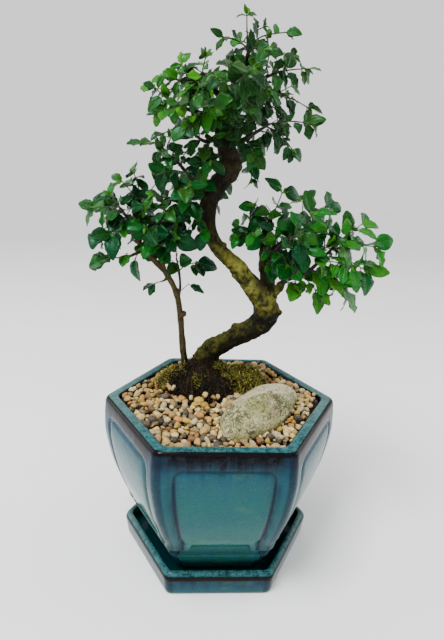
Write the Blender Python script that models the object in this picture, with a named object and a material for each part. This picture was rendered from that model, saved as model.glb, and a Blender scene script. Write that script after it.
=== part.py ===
"""A Chinese privet bonsai in a glazed hexagonal pot on its saucer.

Metres, +Z up. The origin is the centre of the saucer's flat underside, and one face of the
pot looks along -Y. Lengths below are written in millimetres and scaled once, on the way in.
"""

import math
import random

import bmesh
import bpy
from mathutils import Matrix, Vector
from mathutils.bvhtree import BVHTree

MM = 0.001
GAP = 0.35  # clearance between pieces that touch
PAST = 5.0  # how far a cutter runs past what it cuts
HALF_CORNER = math.radians(30)  # from a hexagon's corner to the middle of its side

# Saucer, hexagonal: corner radius at each height
SAUCER_FLOOR = 7.0
SAUCER_TOP = 19.8
SAUCER_FILLET = 6.0
SAUCER_OUTSIDE = [(0.0, 73.6), (1.6, 75.6), (17.6, 77.6), (19.3, 76.6)]
SAUCER_RIM = (SAUCER_TOP, 74.6, 72.6)
SAUCER_INSIDE = [(18.6, 71.4), (SAUCER_FLOOR + 1.5, 69.6), (SAUCER_FLOOR, 68.0)]

# Pot, hexagonal: its rim, its bulging sides, the bracket-cut skirt and the foot inside it
RIM_TOP = 129.0
POT_FILLET = 7.0
POT_FOOT = [(SAUCER_FLOOR + GAP, 57.0), (30.0, 69.5), (32.0, 67.0)]
SKIRT_POST = 38.0
SKIRT_ARCH = 45.0
SKIRT_RADIUS = 74.3
SKIRT_FLARE = 0.26  # how much the radius grows for each millimetre up the skirt's edge
SKIRT_THICK = 5.0
POT_SIDE = [(54.0, 80.0), (74.0, 87.0), (98.0, 91.8), (114.6, 92.0)]
GROOVE_TOP = (116.0, 91.8)
POT_COLLAR = [(117.4, 91.6), (126.4, 90.4), (128.5, 88.8), (RIM_TOP, 87.2)]
POT_INSIDE = [(16.0, 52.0), (33.0, 60.0), (44.0, 63.0), (56.0, 69.5), (80.0, 79.0), (RIM_TOP, 79.8)]
DRAIN_RADIUS = 6.0
PANEL_EDGE = 0.715  # panel groove, as a share of half a side
GROOVE_HALF = 0.035
GROOVE_DEPTH = 1.3
ARCH_END = 0.52

# What fills the pot
SOIL_TOP = 117.0
MOUND = ((-14.0, 33.0, 117.0), (35.0, 31.0, 26.0))
GRAVEL_LOW = 119.4
GRAVEL_PEAK = (121.6, 123.4)
GRAVEL_SPACING = 12.8
GRAVEL_HEAP = 4.0  # how much higher it lies along the back and in the two side corners
HEAP_BACK = (5.0, 60.0)  # from and to which y it rises, from and to which x at the sides,
HEAP_SIDE = (40.0, 68.0)  # and from and to which y the side corners begin
HEAP_FRONT = (-45.0, -10.0)
STONE = ((30.5, -13.5, 123.5), (46.5, 20.5, 14.0), 54.0)
STONE_FLAT = 118.5
MOSS = {
    "moss_left": ((-41.0, 34.0, 119.0), (13.5, 15.5, 15.0), 11),
    "moss_right": ((20.0, 36.0, 119.0), (19.5, 20.0, 18.0), 12),
}

# Wood: x, y, z and radius at points chosen along each stem
TRUNK = [
    (-13, 34, 104, 9.0), (-13, 34, 130, 9.4), (-14, 34, 146, 9.2), (-7, 32, 156.5, 8.6), (6, 28, 166, 8.0),
    (18, 22, 175.5, 8.1), (28, 17, 183.5, 9.0), (33, 14, 192, 9.7), (32, 12, 202, 9.7), (25, 11, 211, 8.0),
    (15, 10, 223, 6.8), (6, 10, 233, 5.8), (-3.6, 10, 242, 5.2), (-11, 12, 252, 5.2), (-14, 14, 263, 5.3),
    (-14.2, 16, 275, 6.0), (-8.8, 16, 287, 6.4), (0, 14, 301, 7.8), (-3, 12, 314, 6.3), (-7, 10, 325, 4.4),
    (-6, 8, 336, 3.3), (-2, 5, 347, 2.7), (4, 2, 358, 2.1), (7, 1, 365, 1.8),
]
LIMB = [
    (34, 12, 204, 6.5), (33, 16, 218, 5.4), (30.4, 18, 231, 4.8), (30, 19, 241, 4.4), (29, 20, 250, 3.6),
    (31, 18, 261, 2.6),
]
ROOTS = [
    [(-13, 34, 143, 7.0), (-28, 28, 139, 4.4), (-38, 25, 131, 2.6)],
    [(-13, 34, 142, 6.5), (-17, 18, 139, 4.0), (-19, 9, 131, 2.4)],
    [(-12, 34, 143, 6.5), (2, 28, 139, 4.2), (11, 23, 131, 2.4)],
    [(-13, 34, 142, 6.0), (-8, 46, 139, 4.0), (-3, 54, 131, 2.4)],
]
KNOTS = [
    ((10.9, 25.9, 178.6), 2.8), ((41, 8, 197.5), 2.7), ((-2.4, 8.5, 246.5), 3.1), ((4.5, 8, 302), 4.5),
    ((30.5, 3.4, 205.5), 2.5),
]
SIDE_STEM = [
    (-30, 36, 112, 3.1), (-30, 36, 141, 3.0), (-32, 34, 161, 2.7), (-34, 30, 187, 2.5), (-37, 24, 206, 2.3),
    (-41, 20, 216, 2.2), (-45, 16, 224, 2.1), (-52, 10, 233, 2.0), (-61, 4, 244, 1.8), (-66, 0, 256, 1.5),
]
STEM_KNOT = ((-31.5, 30, 187), (2.6, 2.4, 3.2))
TRUNK_SIDES = 9
LIMB_SIDES = 8
ROOT_SIDES = 5
STEM_SIDES = 6
BRANCH_SIDES = 4

# Stems that twigs and leaves keep clear of, with the room that they leave
STEMS = {
    "trunk": (TRUNK, TRUNK_SIDES, 0.8),
    "limb": (LIMB, LIMB_SIDES, 0.4),
    "side_stem": (SIDE_STEM, STEM_SIDES, 0.3),
}

# Leafy branches: what carries each, its points, and its twigs as
# (share of the way along the branch, tip, leaf length, pairs of leaves)
BRANCHES = {
    "apex": ("trunk", [(7, 1, 364, 1.7), (8, 0, 371, 1.4), (7, 1, 379, 1.0)], [
        (1.0, (6, 0, 391), 8, 2), (0.55, (-8, -6, 377), 11, 3), (0.9, (17, 4, 386), 8, 2),
        (0.65, (31, 0, 383), 12, 3), (0.4, (17, -15, 370), 12, 3), (0.45, (0, 17, 374), 12, 3)]),
    "crown_high_right": ("trunk", [
        (-3, 5, 346, 2.2), (8, -2, 352, 1.8), (19, -6, 356, 1.4), (27, -8, 359, 1.0)], [
        (1.0, (44, -6, 362), 14, 3), (0.8, (37, 0, 370), 8, 3), (0.65, (20, -12, 369), 12, 3),
        (0.55, (19, -24, 347), 13, 3), (0.3, (5, -12, 360), 12, 3)]),
    "crown_mid_right": ("trunk", [
        (-6, 9, 332, 2.4), (7, 14, 341, 1.9), (20, 16, 346, 1.4), (31, 16, 349, 1.0)], [
        (1.0, (51, 12, 342), 16, 3), (0.75, (42, 28, 357), 12, 3), (0.6, (32, 6, 338), 13, 3),
        (0.4, (20, 32, 339), 12, 3)]),
    "crown_low_right": ("trunk", [
        (-3, 12, 315, 2.4), (6, 4, 318, 2.0), (16, -4, 324, 1.5), (24, -8, 329, 1.0)], [
        (1.0, (51, -8, 330), 13, 4), (0.9, (38, -14, 314), 12, 3), (0.75, (31, 4, 320), 14, 3),
        (0.45, (14, -12, 308), 12, 3), (0.3, (2, -16, 329), 13, 3)]),
    "crown_high_left": ("trunk", [
        (-5, 6, 343, 2.2), (-14, 2, 349, 1.8), (-24, -2, 353, 1.3), (-33, -4, 352, 1.0)], [
        (1.0, (-44, -2, 354), 11, 3), (0.8, (-34, 6, 363), 11, 3), (0.55, (-19, -6, 365), 12, 3),
        (0.5, (-25, -15, 342), 14, 3)]),
    "crown_mid_left": ("trunk", [
        (-7, 9, 331, 2.4), (-18, -2, 333, 1.9), (-29, -8, 335, 1.4), (-39, -10, 338, 1.0)], [
        (1.0, (-50, -6, 347), 12, 4), (0.85, (-47, -12, 332), 12, 3), (0.55, (-30, -20, 325), 14, 3),
        (0.35, (-14, -22, 338), 16, 3)]),
    "crown_low_left": ("trunk", [
        (-6, 11, 321, 2.0), (-17, 6, 317, 1.5), (-25, 2, 321, 1.2), (-31, 0, 325, 1.0)], [
        (1.0, (-45, 2, 321), 12, 2), (0.6, (-20, 8, 330), 12, 3), (0.3, (-14, -6, 305), 14, 3)]),
    "crown_back": ("trunk", [
        (-7, 10, 328, 2.4), (-3, 26, 338, 1.9), (1, 38, 349, 1.4), (4, 44, 357, 1.0)], [
        (1.0, (6, 48, 371), 12, 3), (0.75, (20, 54, 353), 13, 3), (0.6, (-14, 48, 340), 13, 3),
        (0.4, (14, 28, 328), 12, 3)]),
    "crown_back_left": ("trunk", [
        (-6, 8, 337, 2.2), (-15, 24, 345, 1.8), (-25, 34, 349, 1.3), (-33, 40, 351, 1.0)], [
        (1.0, (-46, 42, 353), 12, 3), (0.7, (-25, 42, 362), 12, 3), (0.45, (-33, 20, 341), 13, 2)]),
    "crown_front": ("trunk", [
        (-5, 6, 342, 2.2), (-2, -10, 346, 1.8), (1, -22, 349, 1.3), (3, -30, 351, 1.0)], [
        (1.0, (8, -40, 355), 12, 3), (0.7, (-12, -29, 351), 13, 3), (0.55, (9, -31, 336), 13, 3)]),
    "burl_back": ("trunk", [(-1, 14, 307, 1.8), (8, 25, 309, 1.4), (14, 31, 307, 1.1)], [
        (1.0, (18, 33, 294), 12, 3), (0.5, (20, 26, 317), 12, 3), (0.7, (0, 40, 312), 12, 2)]),
    "mid_left_long": ("trunk", [
        (-13, 15, 270, 2.2), (-20, 10, 285, 1.8), (-28, 6, 294, 1.5), (-36, 4, 303, 1.3), (-44, 2, 309, 1.1),
        (-50, 0, 318, 0.9)], [
        (1.0, (-56, -2, 326), 10, 3), (0.8, (-40, -6, 318), 14, 2), (0.6, (-30, 12, 311), 14, 3),
        (0.5, (-44, -6, 297), 16, 3), (0.25, (-19, -2, 304), 15, 3)]),
    "mid_left_low": ("trunk", [
        (-14, 14, 263, 2.0), (-23, 8, 269, 1.6), (-31, 4, 275, 1.3), (-40, 2, 278, 1.0)], [
        (1.0, (-52, -4, 282), 20, 2), (0.6, (-29, -10, 288), 18, 3), (0.5, (-36, 0, 262), 20, 2),
        (0.3, (-19, -2, 258), 16, 2)]),
    "mid_back": ("trunk", [(-13, 17, 272, 2.0), (-16, 30, 280, 1.5), (-20, 40, 288, 1.0)], [
        (1.0, (-26, 50, 292), 17, 3), (0.6, (-4, 38, 290), 16, 3), (0.7, (-36, 34, 286), 16, 3)]),
    "left_top": ("side_stem", [(-65, 1, 254, 1.4), (-69, -2, 264, 1.2), (-74, -4, 272, 1.0)], [
        (1.0, (-80, -4, 280), 13, 3), (0.8, (-90, -8, 272), 15, 3), (0.5, (-85, -7, 258), 21, 2),
        (0.3, (-78, -16, 256), 21, 2), (0.6, (-80, 12, 268), 18, 2)]),
    "left_low_twig": ("side_stem", [(-43, 18, 220, 1.0), (-45.5, 16.8, 217.6, 0.9), (-48, 16, 216.8, 0.7)], [
        (1.0, (-52, 14, 216), 14, 1)]),
    "left_reach": ("side_stem", [(-60, 5, 242, 1.2), (-68, -2, 239, 1.0), (-76, -6, 238, 0.8)], [
        (1.0, (-82, -8, 239), 20, 2)]),
    "left_up": ("side_stem", [
        (-62, 3, 246, 1.3), (-62, 9, 257, 1.1), (-63, 11, 268, 1.0), (-62, 11, 277, 0.9)], [
        (1.0, (-66, 8, 294), 18, 3), (0.8, (-74, 4, 290), 16, 2), (0.75, (-51, 16, 289), 17, 3)]),
    "left_fork": ("side_stem", [
        (-45, 16, 224, 1.5), (-48, 10, 237, 1.2), (-50, 7, 247, 1.0), (-48, 4, 258, 0.9)], [
        (1.0, (-45, 0, 272), 20, 2), (0.55, (-56, -8, 260), 21, 2), (0.5, (-38, -5, 253), 20, 2)]),
    "left_shoot": ("side_stem", [
        (-36, 26, 199, 1.2), (-34, 24, 210, 1.1), (-35, 22, 225, 1.0), (-37, 20, 234, 0.9)], [
        (1.0, (-36, 18, 250), 18, 2), (0.7, (-23, 15, 232), 21, 2)]),
    "left_back": ("side_stem", [(-52, 10, 233, 1.4), (-57, 22, 243, 1.1), (-61, 31, 255, 0.9)], [
        (1.0, (-58, 34, 271), 18, 3), (0.7, (-46, 34, 250), 18, 2), (0.8, (-76, 34, 254), 18, 2)]),
    "right_top": ("trunk", [(31, 18, 258, 2.4), (32, 17, 266, 1.9), (35, 16, 273, 1.4)], [
        (1.0, (39, 16, 285), 17, 3), (0.3, (20, 12, 276), 15, 3), (0.7, (46, 6, 273), 18, 3)]),
    "right_left": ("trunk", [(29, 20, 246, 1.8), (22, 15, 252, 1.3), (16, 11, 256, 1.0)], [
        (1.0, (8, 7, 254), 12, 3), (0.5, (16, 20, 266), 16, 3), (0.7, (18, -2, 258), 14, 2)]),
    "right_front": ("trunk", [
        (29, 18, 234, 2.0), (34, 6, 243, 1.6), (40, -4, 252, 1.3), (48, -10, 258, 1.0)], [
        (1.0, (55, -14, 273), 20, 3), (0.7, (52, -18, 249), 20, 3), (0.45, (42, -10, 238), 18, 3)]),
    "right_back": ("trunk", [
        (30, 19, 239, 2.0), (39, 28, 244, 1.6), (52, 34, 252, 1.3), (67, 36, 258, 1.0)], [
        (1.0, (79, 36, 273), 20, 3), (0.7, (60, 40, 278), 17, 3), (0.55, (61, 46, 243), 18, 3),
        (0.35, (32, 44, 254), 15, 2)]),
    "right_reach": ("trunk", [
        (35, 12, 207, 3.4), (43, 8, 220, 2.6), (48, 4, 225, 2.2), (56, -2, 229, 2.0), (64, -6, 238, 1.7),
        (71, -8, 247, 1.4), (77, -9, 254, 1.1)], [
        (1.0, (93, -6, 267), 15, 3), (0.9, (100, -15, 253), 21, 3), (0.8, (95, -18, 237), 20, 2),
        (0.7, (84, -26, 241), 22, 2), (0.6, (83, -12, 223), 23, 2), (0.45, (64, -8, 220), 22, 2),
        (0.75, (69, 4, 262), 18, 3), (0.85, (84, 10, 250), 20, 2)]),
}

# Twigs
TWIG_RADIUS = (0.85, 0.6)
TWIG_SIDES = 3
TWIG_PIECE = 13.0
TWIG_BEND = 0.45  # how much a twig sets off along its branch before it turns to its tip
TWIG_MARGIN = 0.12
TWIG_TRIES = 12
FIRST_PAIR = 0.3  # share of the twig below its first pair of leaves, and below its last
LAST_PAIR = 0.985

# Leaves: widest at the shoulder, narrowing past the waist, with sharp margins
SEED = 20
LEAF_THICK = 1.3  # at the rib
LEAF_WIDTH = 0.72
LEAF_SHOULDER = 0.3
LEAF_WAIST = 0.68
LEAF_TAPER = 0.72
LEAF_LIGHT = Vector((0.05, -0.75, 0.6))  # the light that the leaves' upper sides turn to
LEAF_OUT = 0.55  # how much they turn out of the crown instead
LEAF_STRAY = 0.4
LEAF_HANG = (0.15, 0.6)
LEAF_SPREAD = 62.0  # degrees from the twig, and for the pair at its tip
TIP_SPREAD = 40.0
TIP_SIZE = 0.85
LEAF_MARGIN = 0.3
LEAF_ROOT = 2.4
LEAF_TRIES = 9
PAIRS_KEPT = 0.51  # of the pairs listed above; the rest are left to the finer model
DOWN = Vector((0, 0, -1))


def empty_scene():
    """Removes whatever the scene holds."""
    for thing in list(bpy.data.objects):
        bpy.data.objects.remove(thing, do_unlink=True)


def finish(name, colour, roughness, metallic=0.0):
    """A plain Principled material."""
    material = bpy.data.materials.new(name)
    material.use_nodes = True
    shader = material.node_tree.nodes["Principled BSDF"]
    shader.inputs["Base Color"].default_value = (*colour, 1.0)
    shader.inputs["Roughness"].default_value = roughness
    shader.inputs["Metallic"].default_value = metallic
    return material


def solid(name, points, faces):
    """An object from points in millimetres and faces, linked to the scene."""
    mesh = bpy.data.meshes.new(name)
    mesh.from_pydata([Vector(point) * MM for point in points], [], faces)
    mesh.update()
    thing = bpy.data.objects.new(name, mesh)
    bpy.context.scene.collection.objects.link(thing)
    return thing


def bake(thing):
    """Applies the object's modifiers."""
    graph = bpy.context.evaluated_depsgraph_get()
    mesh = bpy.data.meshes.new_from_object(thing.evaluated_get(graph))
    thing.modifiers.clear()
    thing.data = mesh
    return thing


def combine(thing, others, operation="UNION", solver="EXACT"):
    """One Boolean with a collection of objects, applied, and those objects removed."""
    group = bpy.data.collections.new(thing.name + "_parts")
    bpy.context.scene.collection.children.link(group)
    for other in others:
        group.objects.link(other)
        bpy.context.scene.collection.objects.unlink(other)
    step = thing.modifiers.new("combine", "BOOLEAN")
    step.operation = operation
    step.operand_type = "COLLECTION"
    step.collection = group
    step.solver = solver
    bake(thing)
    for other in others:
        bpy.data.objects.remove(other, do_unlink=True)
    bpy.data.collections.remove(group)
    return thing


def shade(thing, material, angle=35.0):
    """Smooth shading with sharp edges kept, and the piece's material."""
    thing.data.materials.clear()
    thing.data.materials.append(material)
    thing.data.shade_smooth()
    thing.data.set_sharp_from_angle(angle=math.radians(angle))
    return thing


def stack(rings):
    """Points and faces of a closed solid through rings of equal length, first to last."""
    count = len(rings[0])
    points = [point for ring in rings for point in ring]
    faces = [tuple(reversed(range(count)))]
    for level in range(len(rings) - 1):
        for index in range(count):
            after = (index + 1) % count
            low, high = level * count, (level + 1) * count
            faces.append((low + index, low + after, high + after, high + index))
    faces.append(tuple(range((len(rings) - 1) * count, len(rings) * count)))
    return points, faces


def rounded_hexagon(radius, height, fillet, turns=(-30, 0, 30)):
    """A hexagon's points at a height, its corners rounded by arcs."""
    ring = []
    for corner in range(6):
        angle = math.radians(60 * corner)
        reach = radius - fillet / math.cos(HALF_CORNER)
        for turn in turns:
            way = angle + math.radians(turn)
            x = reach * math.cos(angle) + fillet * math.cos(way)
            y = reach * math.sin(angle) + fillet * math.sin(way)
            ring.append((x, y, height))
    return ring


def hexagon_solid(name, profile, fillet):
    """A closed solid through rounded hexagons given as (height, radius)."""
    return solid(name, *stack([rounded_hexagon(radius, height, fillet) for height, radius in profile]))


def panel_ring(radius, height_at, groove_at):
    """One ring of the pot's outside: rounded corners, and points on each side where the
    panel groove and the skirt's arch need them."""
    stations = [
        -PANEL_EDGE - GROOVE_HALF, -PANEL_EDGE, -PANEL_EDGE + GROOVE_HALF, -ARCH_END,
        ARCH_END, PANEL_EDGE - GROOVE_HALF, PANEL_EDGE, PANEL_EDGE + GROOVE_HALF,
    ]
    ring = []
    for corner in range(6):
        angle = math.radians(60 * corner)
        reach = radius(1.0) - POT_FILLET / math.cos(HALF_CORNER)
        for turn in (-22, 22):
            way = angle + math.radians(turn)
            ring.append((
                reach * math.cos(angle) + POT_FILLET * math.cos(way),
                reach * math.sin(angle) + POT_FILLET * math.sin(way),
                height_at(1.0),
            ))
        normal = angle + HALF_CORNER
        for station in stations:
            size = radius(abs(station))
            out = size * math.cos(HALF_CORNER) - groove_at(abs(station))
            along = station * size / 2
            ring.append((
                out * math.cos(normal) - along * math.sin(normal),
                out * math.sin(normal) + along * math.cos(normal),
                height_at(abs(station)),
            ))
    return ring


def groove_line(share):
    """Depth of the upright groove beside each panel."""
    return GROOVE_DEPTH if abs(share - PANEL_EDGE) < GROOVE_HALF / 2 else 0.0


def groove_bar(share):
    """Depth of the groove along the top of each panel."""
    return GROOVE_DEPTH if share < PANEL_EDGE + GROOVE_HALF / 2 else 0.0


def skirt_edge(share):
    """Height of the skirt's lower edge: low at the posts, raised between them."""
    return SKIRT_ARCH if share <= ARCH_END else SKIRT_POST


def build_pot():
    """The pot: panelled sides over a skirt with bracket feet, hollow, with a drain hole."""
    def plain(radius, height, groove=lambda share: 0.0):
        return panel_ring(lambda share: radius, lambda share: height, groove)

    def skirt(thickness):
        return panel_ring(
            lambda share: SKIRT_RADIUS - thickness + (skirt_edge(share) - SKIRT_POST) * SKIRT_FLARE,
            skirt_edge,
            groove_line if thickness == 0 else (lambda share: 0.0),
        )

    rings = [plain(radius, height) for height, radius in POT_FOOT]
    rings += [skirt(SKIRT_THICK), skirt(0.0)]
    rings += [plain(radius, height, groove_line) for height, radius in POT_SIDE]
    rings.append(plain(GROOVE_TOP[1], GROOVE_TOP[0], groove_bar))
    rings += [plain(radius, height) for height, radius in POT_COLLAR]
    pot = solid("pot", *stack(rings))
    inside = POT_INSIDE[:-1] + [(RIM_TOP + PAST, POT_INSIDE[-1][1])]
    cavity = hexagon_solid("pot_cavity", inside, POT_FILLET)
    drain = solid("pot_drain", *stack([circle(DRAIN_RADIUS, height, 12) for height in (0.0, 20.0)]))
    combine(pot, [cavity], "DIFFERENCE")
    combine(pot, [drain], "DIFFERENCE")
    return shade(pot, finish("pot_glaze", (0.06, 0.22, 0.24), 0.18))


def circle(radius, height, sides):
    """A ring of points around the pot's axis."""
    turns = [2 * math.pi * k / sides for k in range(sides)]
    return [(radius * math.cos(turn), radius * math.sin(turn), height) for turn in turns]


def build_saucer():
    """The saucer: a hexagonal tray that the pot's foot stands in."""
    top, outer, inner = SAUCER_RIM
    profile = SAUCER_OUTSIDE + [(top, outer), (top, inner)] + SAUCER_INSIDE
    saucer = hexagon_solid("saucer", profile, SAUCER_FILLET)
    return shade(saucer, finish("saucer_glaze", (0.05, 0.18, 0.22), 0.18))


def blob(name, centre, size, detail, seed, rough, turn=0.0):
    """A lumpy ellipsoid from an icosphere, its points pushed in and out by a seeded rule."""
    mesh = bmesh.new()
    bmesh.ops.create_icosphere(mesh, subdivisions=detail, radius=1.0)
    draw = random.Random(seed)
    spin = Matrix.Rotation(math.radians(turn), 3, "Z")
    points = []
    for vertex in mesh.verts:
        way = vertex.co.normalized() * (1 + draw.uniform(-rough, rough))
        points.append(spin @ Vector([way[axis] * size[axis] for axis in range(3)]) + Vector(centre))
    faces = [tuple(vertex.index for vertex in face.verts) for face in mesh.faces]
    mesh.free()
    return solid(name, points, faces)


def mound(grow=0.0):
    """The heap of soil and old roots around the stems."""
    centre, size = MOUND
    return blob("mound", centre, [side + grow for side in size], 3, 3, 0.025)


def stems_below(grow):
    """The buried ends of the trunk, its roots and the side stem, grown to cut their holes."""
    parts = [wood_tube("cut_trunk", TRUNK[:4], TRUNK_SIDES, grow)]
    parts += [wood_tube("cut_root", root, ROOT_SIDES, grow, 1) for root in ROOTS]
    parts.append(wood_tube("cut_side", SIDE_STEM[:3], STEM_SIDES, grow))
    return parts


def build_soil():
    """Soil up to the gravel, with its mound and the plain holes that the stems stand in."""
    shrink = GAP / math.cos(HALF_CORNER)
    profile = [(POT_INSIDE[0][0] + GAP, POT_INSIDE[0][1] - shrink)]
    profile += [(height, radius - shrink) for height, radius in POT_INSIDE[1:-1]]
    profile.append((SOIL_TOP, POT_INSIDE[-2][1] - shrink))
    soil = hexagon_solid("soil", profile, POT_FILLET)
    combine(soil, [mound()])
    combine(soil, stems_below(GAP), "DIFFERENCE")
    return shade(soil, finish("soil_dark", (0.03, 0.02, 0.015), 0.95))


def share_of(span, value):
    """How far a value is along a span, 0 before it and 1 after it."""
    return min(1.0, max(0.0, (value - span[0]) / (span[1] - span[0])))


def heaped(x, y):
    """How much higher the gravel lies at a place than in the middle of the pot."""
    side = share_of(HEAP_SIDE, abs(x)) * share_of(HEAP_FRONT, y)
    share = max(share_of(HEAP_BACK, y), side)
    return GRAVEL_HEAP * share * share * (3 - 2 * share)


def build_gravel():
    """Pebble top dressing: a slab whose upper face is relief on a triangular lattice."""
    draw = random.Random(5)
    step = GRAVEL_SPACING / math.sqrt(3)
    rise = step * math.sqrt(3) / 2
    reach = 92.0
    rows = int(2 * reach / rise) + 1
    columns = int(2 * reach / step) + 1
    top = []
    for row in range(rows):
        for column in range(columns):
            x = -reach + (column + 0.5 * (row % 2)) * step + draw.uniform(-0.2, 0.2) * step
            y = -reach + row * rise + draw.uniform(-0.2, 0.2) * step
            lifted = (column + row % 2) % 3 == 0
            z = draw.uniform(*GRAVEL_PEAK) if lifted else GRAVEL_LOW
            top.append((x, y, z + heaped(x, y)))
    faces = []
    for row in range(rows - 1):
        for column in range(columns - 1):
            a, b = row * columns + column, row * columns + column + 1
            c, d = a + columns, b + columns
            faces += [(a, b, c), (b, d, c)] if row % 2 == 0 else [(a, b, d), (a, d, c)]
    low = SOIL_TOP + GAP
    rim = list(range(columns))
    rim += [row * columns + columns - 1 for row in range(1, rows)]
    rim += [(rows - 1) * columns + column for column in range(columns - 2, -1, -1)]
    rim += [row * columns for row in range(rows - 2, 0, -1)]
    base = len(top)
    points = top + [(top[index][0], top[index][1], low) for index in rim]
    count = len(rim)
    for index in range(count):
        after = (index + 1) % count
        faces.append((rim[after], rim[index], base + index, base + after))
    faces.append(tuple(base + index for index in reversed(range(count))))
    gravel = solid("gravel", points, faces)
    inner = POT_INSIDE[-2][1] - GAP / math.cos(HALF_CORNER)
    tray = hexagon_solid("gravel_edge", [(low - PAST, inner), (RIM_TOP, inner)], POT_FILLET)
    combine(gravel, [tray], "INTERSECT")
    cutters = [mound(GAP), stone_body(GAP)] + [moss_body(name, GAP) for name in MOSS]
    combine(gravel, cutters, "DIFFERENCE")
    keep_largest(gravel)
    return shade(gravel, finish("gravel_pebbles", (0.62, 0.48, 0.34), 0.8))


def keep_largest(thing):
    """Drops loose scraps that a cut leaves behind."""
    mesh = bmesh.new()
    mesh.from_mesh(thing.data)
    seen, groups = set(), []
    for start in mesh.faces:
        if start in seen:
            continue
        group, queue = [], [start]
        seen.add(start)
        while queue:
            face = queue.pop()
            group.append(face)
            for edge in face.edges:
                for near in edge.link_faces:
                    if near not in seen:
                        seen.add(near)
                        queue.append(near)
        groups.append(group)
    groups.sort(key=len)
    for group in groups[:-1]:
        bmesh.ops.delete(mesh, geom=group, context="FACES")
    mesh.to_mesh(thing.data)
    mesh.free()


def stone_body(grow=0.0):
    """The long stone, its underside flat where it sits in the gravel."""
    centre, size, turn = STONE
    stone = blob("stone", centre, [side + grow for side in size], 3, 8, 0.035, turn)
    trim_below(stone, STONE_FLAT - grow)
    return stone


def trim_below(thing, height):
    """Cuts off what lies lower than a height."""
    reach = 200.0
    square = [(-reach, -reach), (reach, -reach), (reach, reach), (-reach, reach)]
    rings = [[(x, y, z) for x, y in square] for z in (height - 60, height)]
    combine(thing, [solid("trim", *stack(rings))], "DIFFERENCE")


def moss_body(name, grow=0.0):
    """A cushion of moss before its neighbours are cut from it."""
    centre, size, seed = MOSS[name]
    moss = blob(name, centre, [side + grow for side in size], 2, seed, 0.09)
    trim_below(moss, SOIL_TOP + GAP - grow)
    return moss


def build_moss(name):
    """A cushion of moss that lies against the mound and the roots."""
    moss = moss_body(name)
    combine(moss, [mound(GAP)] + stems_below(GAP), "DIFFERENCE")
    keep_largest(moss)
    return shade(moss, finish(name + "_green", (0.13, 0.16, 0.03), 0.95))


def build_stone():
    """The pale stone on the gravel."""
    return shade(stone_body(), finish("stone_pale", (0.5, 0.52, 0.42), 0.7))


def smooth_path(stations, pieces):
    """Points and radii along a smooth curve through (x, y, z, radius) stations."""
    ends = [stations[0]] + list(stations) + [stations[-1]]
    path = []
    for index in range(len(stations) - 1):
        a, b, c, d = ends[index:index + 4]
        for piece in range(pieces):
            t = piece / pieces
            path.append([
                0.5 * (2 * b[k] + (c[k] - a[k]) * t + (2 * a[k] - 5 * b[k] + 4 * c[k] - d[k]) * t * t
                       + (3 * b[k] - a[k] - 3 * c[k] + d[k]) * t ** 3)
                for k in range(4)
            ])
    path.append(list(stations[-1]))
    return [Vector(point[:3]) for point in path], [point[3] for point in path]


def tube(points, radii, sides):
    """Points and faces of a closed round tube."""
    rings = []
    side = None
    for index, point in enumerate(points):
        ahead = points[min(index + 1, len(points) - 1)]
        behind = points[max(index - 1, 0)]
        way = (ahead - behind).normalized()
        if side is None:
            side = way.orthogonal().normalized()
        side = (side - way * side.dot(way)).normalized()
        across = way.cross(side)
        ring = []
        for k in range(sides):
            angle = 2 * math.pi * k / sides
            ring.append(point + (side * math.cos(angle) + across * math.sin(angle)) * radii[index])
        rings.append(ring)
    return stack(rings)


def wood_tube(name, stations, sides, grow=0.0, pieces=2):
    """A stem as a tube object."""
    points, radii = smooth_path(stations, pieces)
    return solid(name, *tube(points, [radius + grow for radius in radii], sides))


def build_trunk():
    """The trunk with its right limb, surface roots and knots, in one piece."""
    trunk = wood_tube("trunk", TRUNK, TRUNK_SIDES)
    parts = [wood_tube("limb", LIMB, LIMB_SIDES)]
    parts += [wood_tube("root", root, ROOT_SIDES, 0.0, 1) for root in ROOTS]
    for index, (place, size) in enumerate(KNOTS):
        parts.append(blob("knot", place, (size, size, size), 1, 30 + index, 0.05))
    combine(trunk, parts)
    return shade(trunk, finish("bark_brown", (0.16, 0.11, 0.05), 0.85), 50)


def build_side_stem():
    """The thin stem that rises beside the trunk."""
    stem = wood_tube("side_stem", SIDE_STEM, STEM_SIDES)
    combine(stem, [blob("knot", *STEM_KNOT, 1, 40, 0.05)])
    return shade(stem, finish("bark_grey", (0.17, 0.13, 0.09), 0.85), 50)


def along(points, radii, share):
    """Place, direction and radius at a share of a path's length."""
    lengths = [(points[k + 1] - points[k]).length for k in range(len(points) - 1)]
    left = share * sum(lengths)
    for k, length in enumerate(lengths):
        if left <= length or k == len(lengths) - 1:
            t = min(1.0, left / length)
            place = points[k].lerp(points[k + 1], t)
            return place, (points[k + 1] - points[k]).normalized(), radii[k] + (radii[k + 1] - radii[k]) * t
        left -= length


def twig_path(start, way, tip):
    """A twig's points: it leaves along the branch and bends over to its tip."""
    span = (tip - start).length
    middle = start + (way * TWIG_BEND + (tip - start).normalized() * (1 - TWIG_BEND)) * span / 2
    count = max(2, round(span / TWIG_PIECE))
    points = []
    for k in range(count + 1):
        t = k / count
        points.append(start * (1 - t) ** 2 + middle * 2 * t * (1 - t) + tip * t * t)
    thick, thin = TWIG_RADIUS
    return points, [thick + (thin - thick) * k / count for k in range(count + 1)]


def leaf_axes(way, up):
    """Rotation whose X runs along the leaf and whose Z is its upper side."""
    across = up.cross(way).normalized()
    return Matrix((way, across, way.cross(across))).transposed()


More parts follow.
